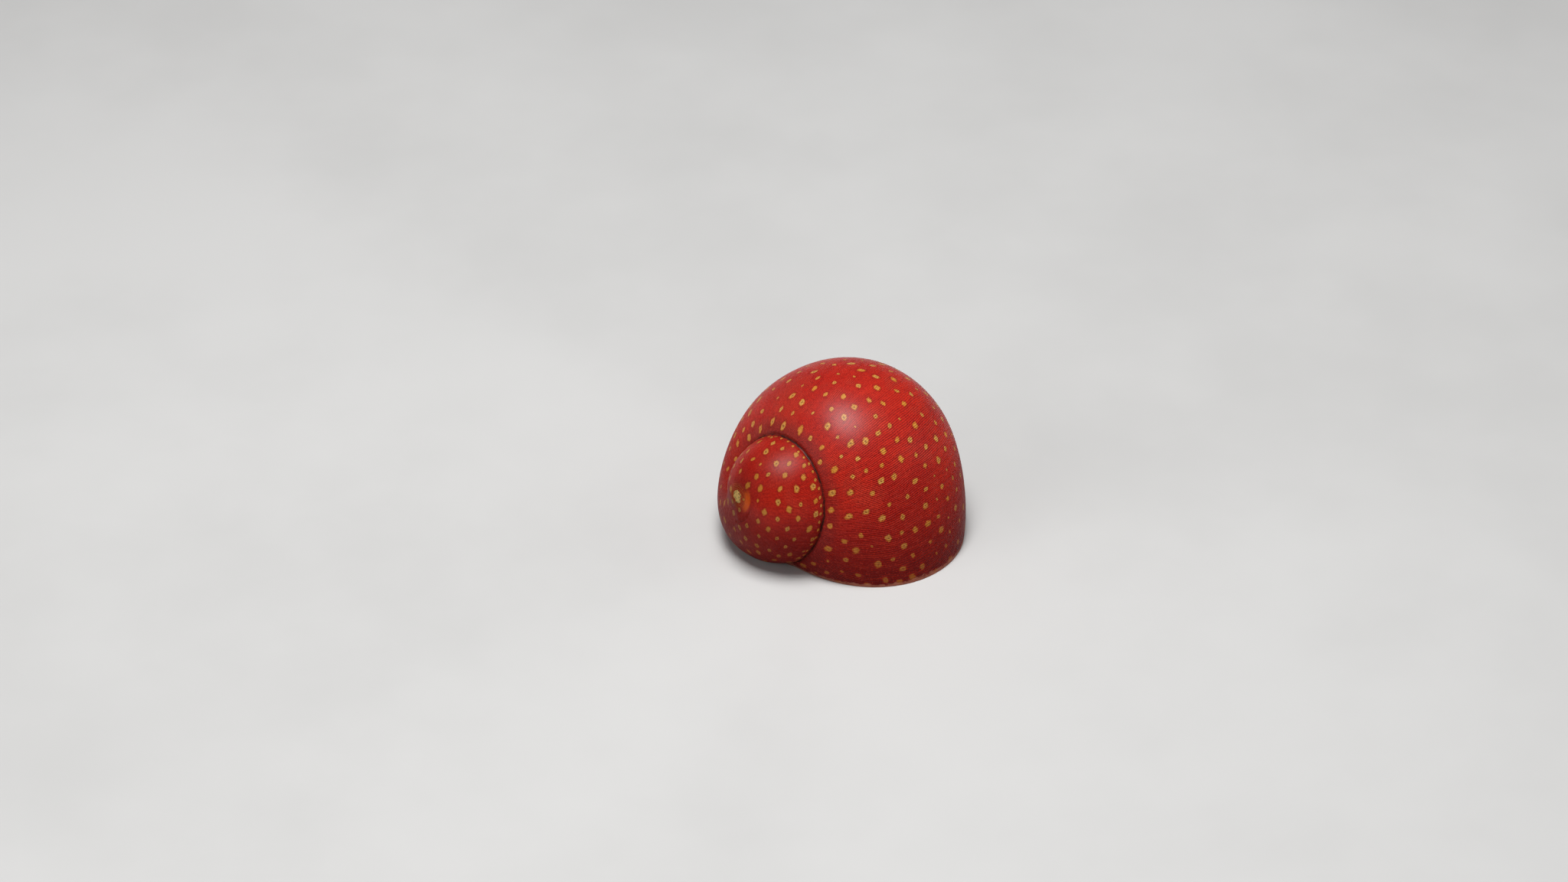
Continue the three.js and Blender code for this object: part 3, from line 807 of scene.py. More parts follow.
class ShellPaint:
    """The shell's colours, laid over each other from the red ground to the pale lip."""

    SEAM_COVER = 0.92
    ARC_HEADING = math.radians(92.0)
    ARC_RADIUS = 0.0012
    ARC_COVER = 0.75
    STRIAE = 48000.0

    def __init__(self, law: CoilLaw, finish: ShellFinish) -> None:
        """Paints the group.

        Args:
            law: The coil's law.
            finish: The shell's colours.
        """
        self.law = law
        self.finish = finish
        self.group = EffectGroup("shell_paint", {
            "Color": "NodeSocketColor",
            "Roughness": "NodeSocketFloat",
            "Coat": "NodeSocketFloat",
        })
        s = self.sheet = self.group.sheet
        self.place = s.place()
        axes = s.add("ShaderNodeSeparateXYZ")
        s.feed(axes.inputs[0], self.place)
        self.along = axes.outputs[0]
        self.height = axes.outputs[2]
        self.leather = s.noise(self.place, 3600.0, 5.0, 0.7)
        # low rises from the floor upwards; the paint that follows it darkens the shell towards the floor,
        # partly as painted shade.
        self.low = s.ramp(self.height, -0.0012, 0.0112)
        ragged_wear = s.wander(self.place, 3000.0, 0.5, 3.0, 0.55)
        self.wear = s.plus(s.layer(Layer.WEAR), ragged_wear)
        self.seam = self._seam()
        painted = self._spotted(self._pored(self._ground()))
        painted = s.mix(s.times(self.seam, self.SEAM_COVER), painted, rgba(finish.suture))
        self.group.give("Color", self._lipped(self._worn(painted)))
        self._gloss()

    def _ground(self) -> Socket:
        """The red ground with its streaks: darker towards the floor, partly the shell's own deeper red and
        partly painted shade, and painted shade beside the suture.
        """
        s, finish = self.sheet, self.finish
        broad = s.ramp(s.noise(self.place, 210.0, 2.0), 0.35, 0.7)
        ground = s.mix(broad, rgba(finish.ground), rgba(finish.ground_bright))
        # Darker towards the floor: partly the shell's own deeper red, partly painted shade.
        ground = s.mix(self.low, rgba(finish.deep), ground)
        streak = s.times(growth_lines(s, self.law, COLOUR_LINES), s.noise(self.place, 420.0, 2.0))
        for tone in finish.streaks:
            ground = s.tint(ground, streak, tone)
        # Painted shade: a darker band beside the suture's groove, where the whorls meet.
        from_seam = s.math("ABSOLUTE", s.minus(s.layer(Layer.SUTURE), 0.35))
        shade = s.times(s.ramp(from_seam, 1.1, 0.1, (0.0, 0.5)), s.layer(Layer.GROOVE))
        return s.mix(shade, ground, rgba(finish.shade))

    def _pored(self, ground: Socket) -> Socket:
        """Adds leathery grain, fine oblique scratches and pores to the ground."""
        s, finish = self.sheet, self.finish
        patchy = s.ramp(s.noise(self.place, 330.0, 2.0), 0.44, 0.6)
        scratch = s.times(growth_lines(s, self.law, FINE_LINES), patchy)
        scratch = s.times(scratch, s.ramp(self.height, 0.003, 0.009))
        pores = s.noise(self.place, PORE_SCALE, 3.0, 0.6)
        for value, tones in (
            (self.leather, finish.leather), (scratch, finish.scratches), (pores, finish.pores),
        ):
            for tone in tones:
                ground = s.tint(ground, value, tone)
        return ground

    def _spotted(self, ground: Socket) -> Socket:
        """Lays the spots on the ground, each with a dark halo, an orange rim and perhaps a centre mark."""
        s, finish = self.sheet, self.finish
        tint = s.layer(Layer.TINT)
        ragged = s.plus(s.layer(Layer.SPOT), s.wander(self.place, 5200.0, 1.5, 4.0, 0.7))
        ground = s.tint(ground, ragged, finish.halo)
        spot = s.mix(tint, rgba(finish.spot), rgba(finish.spot_pale))
        spot = s.tint(spot, ragged, finish.rim)
        marked = s.times(s.ramp(ragged, 0.5, 0.2), s.ramp(tint, 0.25, 0.6, (0.0, 0.85)))
        spot = s.mix(marked, spot, rgba(finish.mark))
        spot = s.tint(spot, s.noise(self.place, 9000.0, 3.0), finish.mottle)
        # Spots dim towards the floor: partly their own darker colour, partly painted shade.
        spot = s.mix(s.times(s.minus(1.0, self.low), 0.85), spot, rgba(finish.spot_dark_and_shaded))
        return s.mix(s.ramp(ragged, 1.16, 0.9), ground, spot)

    def _seam(self) -> Socket:
        """How dark the suture's line is: it wanders a little and crumbles."""
        s = self.sheet
        wander = s.wander(self.place, 2600.0, 0.22, 4.0, 0.7)
        near = s.ramp(s.math("ABSOLUTE", s.plus(s.layer(Layer.SUTURE), wander)), 0.1, 0.02)
        crumbs = s.ramp(s.noise(self.place, 1300.0, 3.0, 0.6), 0.36, 0.56, (0.45, 1.0))
        return s.times(s.times(near, s.layer(Layer.GROOVE)), crumbs)

    def _worn(self, painted: Socket) -> Socket:
        """Wears the apex: an orange arc beside it, faint rings, and a pale knob with dark specks."""
        s, finish = self.sheet, self.finish
        angle, out, _ = growth_angle(s, self.law)
        facing = s.ramp(s.math("COSINE", s.plus(angle, self.ARC_HEADING)), 0.55, 0.95)
        from_arc = s.math("ABSOLUTE", s.minus(out, self.ARC_RADIUS))
        arc = s.times(s.ramp(from_arc, 0.0004, 0.0001), facing)
        arc = s.times(arc, s.ramp(s.layer(Layer.WEAR), 0.0, 0.05))
        painted = s.mix(s.times(arc, self.ARC_COVER), painted, rgba(finish.arc))
        striae = s.math("SINE", s.plus(s.times(out, self.STRIAE), s.times(self.leather, 5.0)))
        ringed = s.times(s.ramp(self.wear, 0.12, 0.5, (0.0, 0.45)), s.ramp(striae, 0.0, 0.8))
        painted = s.mix(ringed, painted, rgba(finish.ring))
        painted = s.tint(painted, self.wear, finish.knob)
        speck = s.times(s.ramp(self.wear, 0.6, 0.9), s.ramp(s.noise(self.place, 7000.0, 2.0), 0.56, 0.62))
        return s.mix(speck, painted, rgba(finish.speck))

    def _lipped(self, painted: Socket) -> Socket:
        """Pales the ragged edge of the lip, close to the floor."""
        s = self.sheet
        edge = s.plus(self.height, s.wander(self.place, 1900.0, 0.0009, 4.0, 0.65))
        lip = s.ramp(self.along, -0.007, -0.004, (0.0, 0.75))
        return s.mix(s.times(s.ramp(edge, 0.00042, 0.0002), lip), painted, rgba(self.finish.lip))

    def _gloss(self) -> None:
        """Gives the roughness, and a coat that fades out towards the floor."""
        s = self.sheet
        gloss = s.ramp(self.leather, 0.3, 0.75, (0.34, 0.5))
        gloss = s.plus(gloss, s.times(self.seam, 0.3))
        gloss = s.plus(gloss, s.ramp(self.wear, 0.3, 0.8, (0.0, 0.2)))
        self.group.give("Roughness", gloss)
        self.group.give("Coat", s.ramp(self.height, 0.0065, 0.0125, (0.0, 0.5)))


def make_shell_relief(law: CoilLaw) -> bpy.types.NodeTree:
    """The shell's fine relief: growth lines, leathery grain, pores and slightly raised spots.

    Args:
        law: The coil's law.

    Returns:
        A group that puts out a height.
    """
    group = EffectGroup("shell_relief", {"Height": "NodeSocketFloat"})
    s = group.sheet
    place = s.place()
    parts = (
        (growth_lines(s, law, FINE_LINES), 0.36),
        (growth_lines(s, law, BROAD_LINES), 0.2),
        (s.noise(place, 4300.0, 5.0, 0.75), 1.5),
        (s.noise(place, 900.0, 3.0), 0.5),
        (s.noise(place, PORE_SCALE, 3.0, 0.6), 0.8),
    )
    total = s.ramp(s.layer(Layer.SPOT), 1.2, 0.6, (0.0, 0.12))
    for height, share in parts:
        total = s.plus(total, s.times(height, share))
    group.give("Height", total)
    return group.tree


def new_material(name: str) -> tuple[bpy.types.Material, Sheet, bpy.types.Node]:
    """A fresh material.

    Args:
        name: The material's name.

    Returns:
        The material, a writer for its nodes and its surface node.
    """
    material = bpy.data.materials.new(name)
    material.use_nodes = True
    return material, Sheet(material.node_tree), material.node_tree.nodes["Principled BSDF"]


def add_bump(sheet: Sheet, surface: bpy.types.Node, height: Socket, strength: float, depth: float) -> None:
    """Roughens a surface.

    Args:
        sheet: The material's nodes.
        surface: Its surface node.
        height: The relief.
        strength: How strongly the relief shows.
        depth: How deep it is, in metres.
    """
    bump = sheet.add("ShaderNodeBump")
    bump.inputs["Strength"].default_value = strength
    bump.inputs["Distance"].default_value = depth
    sheet.feed(bump.inputs["Height"], height)
    sheet.feed(surface.inputs["Normal"], bump.outputs["Normal"])


def make_shell_material(law: CoilLaw, finish: ShellFinish) -> bpy.types.Material:
    """The painted outer face of the shell.

    Args:
        law: The coil's law.
        finish: The shell's finish.

    Returns:
        The material.
    """
    material, sheet, surface = new_material(finish.name)
    paint = sheet.add("ShaderNodeGroup", node_tree=ShellPaint(law, finish).group.tree)
    relief = sheet.add("ShaderNodeGroup", node_tree=make_shell_relief(law))
    add_bump(sheet, surface, relief.outputs["Height"], finish.bump, finish.relief)
    sheet.feed(surface.inputs["Base Color"], paint.outputs["Color"])
    sheet.feed(surface.inputs["Roughness"], paint.outputs["Roughness"])
    sheet.feed(surface.inputs["Coat Weight"], paint.outputs["Coat"])
    surface.inputs["Specular IOR Level"].default_value = finish.specular
    surface.inputs["Coat Roughness"].default_value = finish.coat_roughness
    return material


class PlainFinishes:
    """Materials for the plain finishes, which share one group for mottling, stripes and grain."""

    BUMP = 0.5
    STRIPE_WAVER = 22.0

    def __init__(self) -> None:
        """Makes the shared group."""
        group = EffectGroup(
            "plain_grain",
            {"Color": "NodeSocketColor", "Roughness": "NodeSocketFloat", "Height": "NodeSocketFloat"},
            {
                "Colour": "NodeSocketColor",
                "Dark": "NodeSocketColor",
                "Gloss": "NodeSocketFloat",
                "Grain": "NodeSocketFloat",
                "Stripes": "NodeSocketFloat",
                "Striped": "NodeSocketFloat",
                "Across": "NodeSocketVector",
            },
        )
        s = group.sheet
        place = s.place()
        broad = s.noise(place, s.times(group.take("Grain"), 0.35), 3.0)
        grain = s.noise(place, group.take("Grain"), 4.0, 0.6)
        share = s.ramp(s.plus(s.times(broad, 0.6), s.times(grain, 0.4)), 0.36, 0.62)
        wave = s.times(s.dot(place, group.take("Across")), group.take("Stripes"))
        stripe = s.math("SINE", s.plus(wave, s.times(broad, self.STRIPE_WAVER)))
        darkened = s.times(group.take("Striped"), s.ramp(stripe, 0.75, -0.1, (0.75, 0.0)))
        share = s.times(share, s.minus(1.0, darkened))
        group.give("Color", s.mix(share, group.take("Dark"), group.take("Colour")))
        group.give("Roughness", s.plus(group.take("Gloss"), s.ramp(grain, 0.3, 0.7, (-0.05, 0.1))))
        group.give("Height", grain)
        self.tree = group.tree

    def make(self, finish: Finish, heading: float = 0.0) -> bpy.types.Material:
        """A material from a plain finish.

        Args:
            finish: The finish.
            heading: The direction, in radians, across which any stripes run.

        Returns:
            The material.
        """
        material, sheet, surface = new_material(finish.name)
        effect = sheet.add("ShaderNodeGroup", node_tree=self.tree)
        for label, value in (
            ("Colour", rgba(finish.colour)),
            ("Dark", rgba(finish.dark)),
            ("Gloss", finish.roughness),
            ("Grain", finish.grain),
            ("Stripes", finish.stripes),
            ("Striped", 1.0 if finish.stripes else 0.0),
            ("Across", (math.cos(heading), math.sin(heading), 0.0)),
        ):
            effect.inputs[label].default_value = value
        sheet.feed(surface.inputs["Base Color"], effect.outputs["Color"])
        sheet.feed(surface.inputs["Roughness"], effect.outputs["Roughness"])
        if finish.relief:
            add_bump(sheet, surface, effect.outputs["Height"], self.BUMP, finish.relief)
        surface.inputs["Coat Weight"].default_value = finish.coat
        return material


# The shell


@dataclass
class Spots:
    """The yellow-orange spots: their places, sizes and tints, in millimetres."""

    MOST = 4000
    SPREAD = (0.92, 1.12)
    SIZES = (0.72, 1.15)
    SMALL_SHARE = 0.1
    SMALL_SIZE = 0.55
    BEAD_SIZE = 0.52
    TURN_SPREAD = 0.25
    ROUNDNESS = 1.5
    FARTHEST = 4.0

    law: CoilLaw
    seed: int = 11
    spacing: float = 1.2
    spire_spacing: float = 1.02
    half_length: float = 0.3
    half_width: float = 0.205
    heading: tuple[float, float, float] = (0.3, 0.5, 0.8)

    def scatter(self, points: np.ndarray, spire: np.ndarray, free: np.ndarray) -> np.ndarray:
        """Chooses places that keep their distance from each other.

        Args:
            points: The surface's places.
            spire: How far each place belongs to the spire, 0 to 1.
            free: Whether a spot may lie there.

        Returns:
            The indices of the chosen places.
        """
        random = np.random.default_rng(self.seed)
        order = random.permutation(np.flatnonzero(free))
        spacing = self.spacing + (self.spire_spacing - self.spacing) * spire
        apart = spacing * random.uniform(*self.SPREAD, len(points))
        chosen: list[int] = []
        places = np.empty((self.MOST, 3))
        for index in order:
            count = len(chosen)
            if count and ((places[:count] - points[index]) ** 2).sum(axis=1).min() < apart[index] ** 2:
                continue
            places[count] = points[index]
            chosen.append(int(index))
        return np.array(chosen)

    def _sizes(self, random: np.random.Generator, beads: np.ndarray) -> np.ndarray:
        """The spots' sizes, as shares of the usual one."""
        size = random.uniform(*self.SIZES, len(beads))
        size = np.where(random.uniform(0.0, 1.0, len(beads)) < self.SMALL_SHARE, size * self.SMALL_SIZE, size)
        return np.where(beads, self.BEAD_SIZE, size)

    def measure(
        self, points: np.ndarray, chosen: np.ndarray, beads: np.ndarray,
    ) -> tuple[np.ndarray, np.ndarray]:
        """How far each place of the surface is from the nearest spot, as a share of its size.

        Args:
            points: The surface's places.
            chosen: The spots' indices.
            beads: Which of the spots are small beads along the suture.

        Returns:
            The distance, 1 at a spot's edge, and the nearest spot's tint.
        """
        random = np.random.default_rng(self.seed + 1)
        tree = kdtree.KDTree(len(chosen))
        for i, index in enumerate(chosen):
            tree.insert(points[index], i)
        tree.balance()
        nearest = np.array([tree.find(point)[1] for point in points])
        size = self._sizes(random, beads)
        tint = random.uniform(0.0, 1.0, len(chosen))
        axis = self.law.frame()[2]
        centres = points[chosen]
        outward = unit(centres - np.array(self.law.apex) + axis * self.law.middle)
        heading = np.array(self.heading)
        along = unit(heading - (outward @ heading)[:, None] * outward)
        across = unit(np.cross(outward, along))
        turn = random.normal(0.0, self.TURN_SPREAD, len(chosen))[:, None]
        offset = points - centres[nearest]
        shares = []
        for way, half in (
            (along * np.cos(turn) + across * np.sin(turn), self.half_length),
            (across * np.cos(turn) - along * np.sin(turn), self.half_width),
        ):
            shares.append(np.abs((offset * way[nearest]).sum(axis=1)) / (half * size[nearest]))
        distance = (shares[0]**self.ROUNDNESS + shares[1]**self.ROUNDNESS) ** (1.0 / self.ROUNDNESS)
        return np.minimum(distance, self.FARTHEST), tint[nearest]


@dataclass
class Shell:
    """The whole shell: outer surface, floor face, recess and lifted rim."""

    GROOVE_DEPTH = 0.15
    GROOVE_WIDTH = 0.115
    GROOVE_ONSET = (-0.87, -0.6)
    INNER_SUTURE = (2.45, 2.07)
    INNER_STRENGTH = (0.22, 0.08)
    WORN = (0.1, 1.6)
    BEAD_LINE = 0.27
    BEAD_BAND = 0.07
    BEAD_SPACING = 0.66
    RECESS = ((0.0, 0.9), (1.4, 0.9), (2.6, 1.4), (3.3, 2.2), (3.7, 3.5))

    grid: ShellGrid
    mouth: Mouth
    spots: Spots
    layers: dict[Layer, np.ndarray] = field(default_factory=dict)

    def _marks(self, points: np.ndarray, column: np.ndarray, row: np.ndarray) -> np.ndarray:
        """Works out the values that the surface carries.

        Args:
            points: The places of the mesh, in millimetres.
            column: Each place's column in the grid.
            row: Each place's row.

        Returns:
            How deep each place lies in the suture's groove.
        """
        azimuth = self.grid.azimuth[:, 0][column]
        latitude = self.grid.latitude[0][row]
        reach = self.grid.reach[column, row]
        signed = (latitude - self.grid.suture[:, 0][column]) * reach
        out = reach * np.sin(latitude)
        radius, growth = self.INNER_SUTURE
        inner_gap = out - radius * np.exp(growth * azimuth)
        on_inner = np.abs(inner_gap) < np.abs(signed)
        distance = np.where(on_inner, inner_gap, signed)
        least, rise = self.INNER_STRENGTH
        inner_strength = least + rise * smoothstep(azimuth, -0.6, 0.0)
        strength = np.where(on_inner, inner_strength, smoothstep(azimuth, *self.GROOVE_ONSET))
        self.layers[Layer.SUTURE] = distance
        self.layers[Layer.GROOVE] = strength
        self.layers[Layer.WEAR] = (1.0 - smoothstep(out, *self.WORN)) * (latitude < 1.0)
        spire = 1.0 - smoothstep(signed, -0.2, 0.2)
        free = (points[:, 2] > 0.15) & (np.abs(distance) > 0.42) & (out > 0.75) & (latitude < 2.9)
        chosen = self.spots.scatter(points, spire, free)
        beads = self._beads(azimuth, signed, points)
        marks = np.concatenate([chosen, beads])
        is_bead = np.arange(len(marks)) >= len(chosen)
        self.layers[Layer.SPOT], self.layers[Layer.TINT] = self.spots.measure(points, marks, is_bead)
        LOG.info("spots: %d, beads: %d", len(chosen), len(beads))
        return strength * np.exp(-((distance / self.GROOVE_WIDTH) ** 2))

    def _beads(self, azimuth: np.ndarray, signed: np.ndarray, points: np.ndarray) -> np.ndarray:
        """The places of the small beads that run along the spire's side of the suture."""
        in_band = np.abs(signed + self.BEAD_LINE) < self.BEAD_BAND
        near = np.flatnonzero(in_band & (azimuth > -0.86) & (points[:, 2] > 0.3))
        kept: list[int] = []
        for index in near[np.argsort(azimuth[near])]:
            gaps = np.linalg.norm(points[kept] - points[index], axis=1)
            if not kept or gaps.min() > self.BEAD_SPACING:
                kept.append(int(index))
        return np.array(kept, dtype=int)

    def build(self, materials: list[bpy.types.Material]) -> bpy.types.Object:
        """Makes the shell's mesh.

        Args:
            materials: The outer face's material and the inner face's.

        Returns:
            The shell's object.
        """
        grid = self.grid
        bm = bmesh.new()
        bmesh.ops.create_uvsphere(bm, u_segments=grid.columns, v_segments=grid.rows, radius=1.0)
        bm.verts.ensure_lookup_table()
        ball = np.array([vert.co for vert in bm.verts])
        turn = np.arctan2(ball[:, 1], ball[:, 0]) / (2.0 * math.pi)
        column = np.rint((turn % 1.0) * grid.columns).astype(int) % grid.columns
        row = np.rint(np.arccos(np.clip(ball[:, 2], -1.0, 1.0)) / math.pi * grid.rows).astype(int)
        points = grid.points()[column, row]
        depth = self._marks(points, column, row)
        for vert, point in zip(bm.verts, points):
            vert.co = point
        bmesh.ops.recalc_face_normals(bm, faces=bm.faces[:])
        bm.normal_update()
        for layer, values in self.layers.items():
            stored = bm.verts.layers.float.new(layer.value)
            for vert, value in zip(bm.verts, values):
                vert[stored] = float(value)
        for vert, value in zip(bm.verts, depth):
            vert.co -= vert.normal * (self.GROOVE_DEPTH * float(value))
        self._stand_on_floor(bm)
        return finished_object("shell", bm, materials)

    def _lift(self, bm: bmesh.types.BMesh, sign: float) -> None:
        """Moves the surface up or down by the height of the arch over the head."""
        places = np.array([vert.co for vert in bm.verts])
        lift = self.mouth.arch(places[:, 0], places[:, 1]) * sign
        for vert, value in zip(bm.verts, lift):
            vert.co.z += float(value)

    def _stand_on_floor(self, bm: bmesh.types.BMesh) -> None:
        """Cuts the shell level with the floor and gives it a mouth with a recess."""
        self._lift(bm, -1.0)
        bmesh.ops.bisect_plane(
            bm,
            geom=bm.verts[:] + bm.edges[:] + bm.faces[:],
            dist=1e-5,
            plane_co=(0.0, 0.0, 0.0),
            plane_no=(0.0, 0.0, 1.0),
            clear_inner=True,
        )
        bm.normal_update()
        edge = [e for e in bm.edges if e.is_boundary]
        self.mouth.measure(np.array([vert.co for e in edge for vert in e.verts]))
        rings = [add_ring(bm, self.mouth.ring(height, inset)) for height, inset in self.RECESS]
        outer = set(bm.faces)
        bmesh.ops.bridge_loops(bm, edges=edge + rings[0])
        for lower, upper in zip(rings, rings[1:]):
            bmesh.ops.bridge_loops(bm, edges=lower + upper)
        bmesh.ops.contextual_create(bm, geom=rings[-1])
        for face in bm.faces:
            face.material_index = 0 if face in outer else 1
        self._lift(bm, 1.0)
        bmesh.ops.recalc_face_normals(bm, faces=bm.faces[:])


# The animal


@dataclass
class Skin:
    """One smooth skin over foot, head, snout and tentacles."""

    SHELF_ROOM = 0.35
    TENTACLE_RINGS = 15
    SLIM_AROUND = 16
    VOXEL = 0.11
    SMOOTHING = 0.5
    SMOOTHINGS = 8

    mouth: Mouth
    shelf_edge: float
    foot_height: float = 2.0
    lobe_reach: float = 0.9
    tentacle_radius: float = 0.36
    tentacle_length: float = 3.2
    stalk_forward: float = 1.15

    def _foot_shape(self, forward: float, width: float) -> Callable[[float, float], float]:
        """How the foot keeps clear of the shelf and reaches out below the head."""
        mouth = self.mouth
        clear = self.shelf_edge - self.SHELF_ROOM - GAP

        def shape(reach: float, bearing: float) -> float:
            """The reach to use in one direction."""
            facing = math.cos(bearing - mouth.columella)
            kept = min(reach, clear / facing) if facing > 0.05 else reach
            turned = math.atan2(math.sin(bearing - mouth.gaze), math.cos(bearing - mouth.gaze))
            return kept + forward * math.exp(-((turned / width) ** 2))

        return shape

    def _foot(self) -> list[list[Vector]]:
        """The rings of the foot, from the sole upwards."""
        mouth = self.mouth
        lobe = mouth.front - mouth.rim[0] + mouth.wall + self.lobe_reach
        levels = (
            (0.02, 0.9, lobe - 0.5, 0.24),
            (0.12, 0.45, lobe - 0.15, 0.23),
            (0.35, 0.3, lobe, 0.22),
            (0.7, 0.3, lobe - 0.1, 0.22),
            (1.0, 0.4, lobe - 0.9, 0.3),
            (1.6, 0.7, -1.3, 0.55),
            (self.foot_height, 1.8, -1.7, 0.55),
        )
        return [
            mouth.ring(height, mouth.wall + inset, self._foot_shape(forward, width))
            for height, inset, forward, width in levels
        ]

    def _head(self) -> list[list[Vector]]:
        """The rings of head, neck and snout, by forward, up, half width and half height."""
        front = self.mouth.front
        back = float(self.mouth.rim[0]) - 3.2
        sections = (
            (back, 1.3, 1.2, 0.5),
            (back + 0.9, 1.7, 1.75, 0.85),
            (back + 2.0, 1.9, 1.85, 0.9),
            (front, 1.95, 1.8, 0.85),
            (front + 1.6, 1.9, 1.6, 0.78),
            (front + 2.3, 1.85, 1.25, 0.62),
            (front + 2.65, 1.8, 1.12, 0.55),
            (front + 3.2, 1.66, 1.1, 0.52),
            (front + 3.55, 1.56, 0.86, 0.4),
            (front + 3.72, 1.5, 0.5, 0.24),
        )
        stations = [(forward, 0.0, up, wide, high, 0.0) for forward, up, wide, high in sections]
        return tube(self.mouth, stations)

    def _tentacle(self, side: float) -> list[list[Vector]]:
        """The rings of one tentacle: it tapers, spreads, arches a little and ends in a blunt tip."""
        start = self.mouth.front + 1.1
        last = self.TENTACLE_RINGS - 1
        stations = []
        for i in range(self.TENTACLE_RINGS):
            share = i / last
            tip = 0.55 if i == last else 1.0
            radius = self.tentacle_radius * (1.0 - 0.42 * share) * tip
            left = side * (1.35 + 0.9 * min(share * 3.0, 1.0) + 0.16 * share)
            up = 2.05 + 0.33 * math.sin(share * math.pi)
            forward = start + self.tentacle_length * share
            stations.append((forward, left, up, radius, radius, side * 0.1))
        return tube(self.mouth, stations, self.SLIM_AROUND)

    def _stalk(self, side: float) -> list[list[Vector]]:
        """The rings of one eye stalk, by reach to the side and radius."""
        forward = self.mouth.front + self.stalk_forward
        stations = [
            (forward, side * (1.3 + reach), 2.02 + reach * 0.45, radius, radius, side * math.pi / 2.0)
            for reach, radius in ((0.0, 0.34), (0.4, 0.3), (0.8, 0.29), (1.05, 0.26))
        ]
        return tube(self.mouth, stations, self.SLIM_AROUND)

    def build(self, material: bpy.types.Material) -> bpy.types.Object:
        """Joins all the flesh in one skin.

        Args:
            material: The flesh's material.

        Returns:
            The skin's object.
        """
        bm = bmesh.new()
        for rings in (self._foot(), self._head()):
            loft(bm, rings)
        for side in (1.0, -1.0):
            loft(bm, self._tentacle(side))
            loft(bm, self._stalk(side))
        made = finished_object("skin", bm, [material])
        remesh = made.modifiers.new("join", "REMESH")
        remesh.mode = "VOXEL"
        remesh.voxel_size = self.VOXEL * MM
        remesh.use_smooth_shade = True
        smooth = made.modifiers.new("soften", "SMOOTH")
        smooth.factor = self.SMOOTHING
        smooth.iterations = self.SMOOTHINGS
        return made


@dataclass
class Plates:
    """The hard pieces inside the mouth: the columellar shelf and the lid."""

    BACK_STEPS = 24
    TOOTH_STEPS = 8
    SHELF_LEVELS = ((0.27, 0.94), (0.33, 0.99), (0.5, 1.0), (0.85, 1.0), (0.98, 0.98), (1.03, 0.93))
    LID_LEVELS = ((0.02, 0.22), (0.08, 0.08), (0.18, 0.02), (0.3, 0.06))
    LID_RIDGES = 8
    LID_SHARE = 0.55
    LID_OVAL = 0.12

    mouth: Mouth
    lid_height: float = 2.0
    shelf_reach: float = 1.5
    span: float = 0.6
    teeth: int = 5
    tooth_height: float = 0.35

    def edge(self) -> float:
        """How far the shelf's free edge lies from the middle of the mouth."""
        return self.mouth.rim_towards(self.mouth.columella) - self.mouth.wall - GAP - self.shelf_reach

    def _shelf_outline(self) -> list[Vector]:
        """The shelf's outline, with teeth on its free edge."""
        mouth = self.mouth
        outline = []
        for i in range(self.BACK_STEPS + 1):
            bearing = mouth.columella + self.span * (2.0 * i / self.BACK_STEPS - 1.0)
            reach = mouth.rim_towards(bearing) - mouth.wall - GAP
            outline.append(Vector((reach * math.cos(bearing), reach * math.sin(bearing), 0.0)))
        normal = Vector((math.cos(mouth.columella), math.sin(mouth.columella), 0.0))
        tangent = Vector((-normal.y, normal.x, 0.0))
        start, end = outline[-1].dot(tangent), outline[0].dot(tangent)
        deep = outline[-1].dot(normal)
        steps = self.teeth * self.TOOTH_STEPS
        for i in range(1, steps):
            share = i / steps
            tooth = self.tooth_height * max(math.sin(share * self.teeth * 2.0 * math.pi), 0.0)
            ends = min(1.0, min(share, 1.0 - share) * 8.0)
            depth = deep + (self.edge() - tooth - deep) * ends
            outline.append(normal * depth + tangent * (start + (end - start) * share))
        centre = Vector((mouth.centre[0], mouth.centre[1], 0.0))
        return [place + centre for place in outline]

    def build_shelf(self, material: bpy.types.Material) -> bpy.types.Object:
        """Makes the shelf: a toothed plate with rounded edges."""
        outline = self._shelf_outline()
        middle = sum(outline, Vector()) / len(outline)
        bm = bmesh.new()
        loft(bm, [
            [middle + (place - middle) * share + Vector((0.0, 0.0, height)) for place in outline]
            for height, share in self.SHELF_LEVELS
        ])
        return finished_object("columellar_shelf_plate", bm, [material])

    def build_lid(self, material: bpy.types.Material) -> bpy.types.Object:
        """Makes the lid: a low plate with ridges that follow its edge."""
        mouth = self.mouth
        low = self.lid_height + GAP

        def ring(up: float, inset: float) -> list[Vector]:
            """The lid's edge at a height, moved inwards."""
            def shape(reach: float, bearing: float) -> float:
                """The reach to use in one direction."""
                oval = 1.0 - self.LID_OVAL * math.cos(bearing - mouth.heading)
                return self.LID_SHARE * reach * oval - inset

            return mouth.ring(low + up, 0.0, shape)

        levels = list(self.LID_LEVELS)
        for i in range(1, self.LID_RIDGES + 1):
            levels.append((0.34 + 0.2 * (i / self.LID_RIDGES) + 0.02 * (i % 2), 0.1 + 0.24 * i))
        bm = bmesh.new()
        loft(bm, [ring(up, inset) for up, inset in levels])
        return finished_object("lid", bm, [material])


@dataclass
class Eyes:
    """The two eyes at the ends of their stalks."""

    mouth: Mouth
    radius: float = 0.27
    forward: float = 1.15
    aside: float = 2.52
    up: float = 2.5

    def build(self, side: float, name: str, material: bpy.types.Material) -> bpy.types.Object:
        """Makes one eye.

        Args:
            side: 1 for the left eye and -1 for the right.
            name: The object's name.
            material: The eye's material.

        Returns:
            The eye's object.
        """
        bm = bmesh.new()
        bmesh.ops.create_uvsphere(bm, u_segments=32, v_segments=20, radius=self.radius)
        centre = self.mouth.place(self.mouth.front + self.forward, side * self.aside, self.up)
        bmesh.ops.translate(bm, verts=bm.verts[:], vec=centre)
        return finished_object(name, bm, [material])


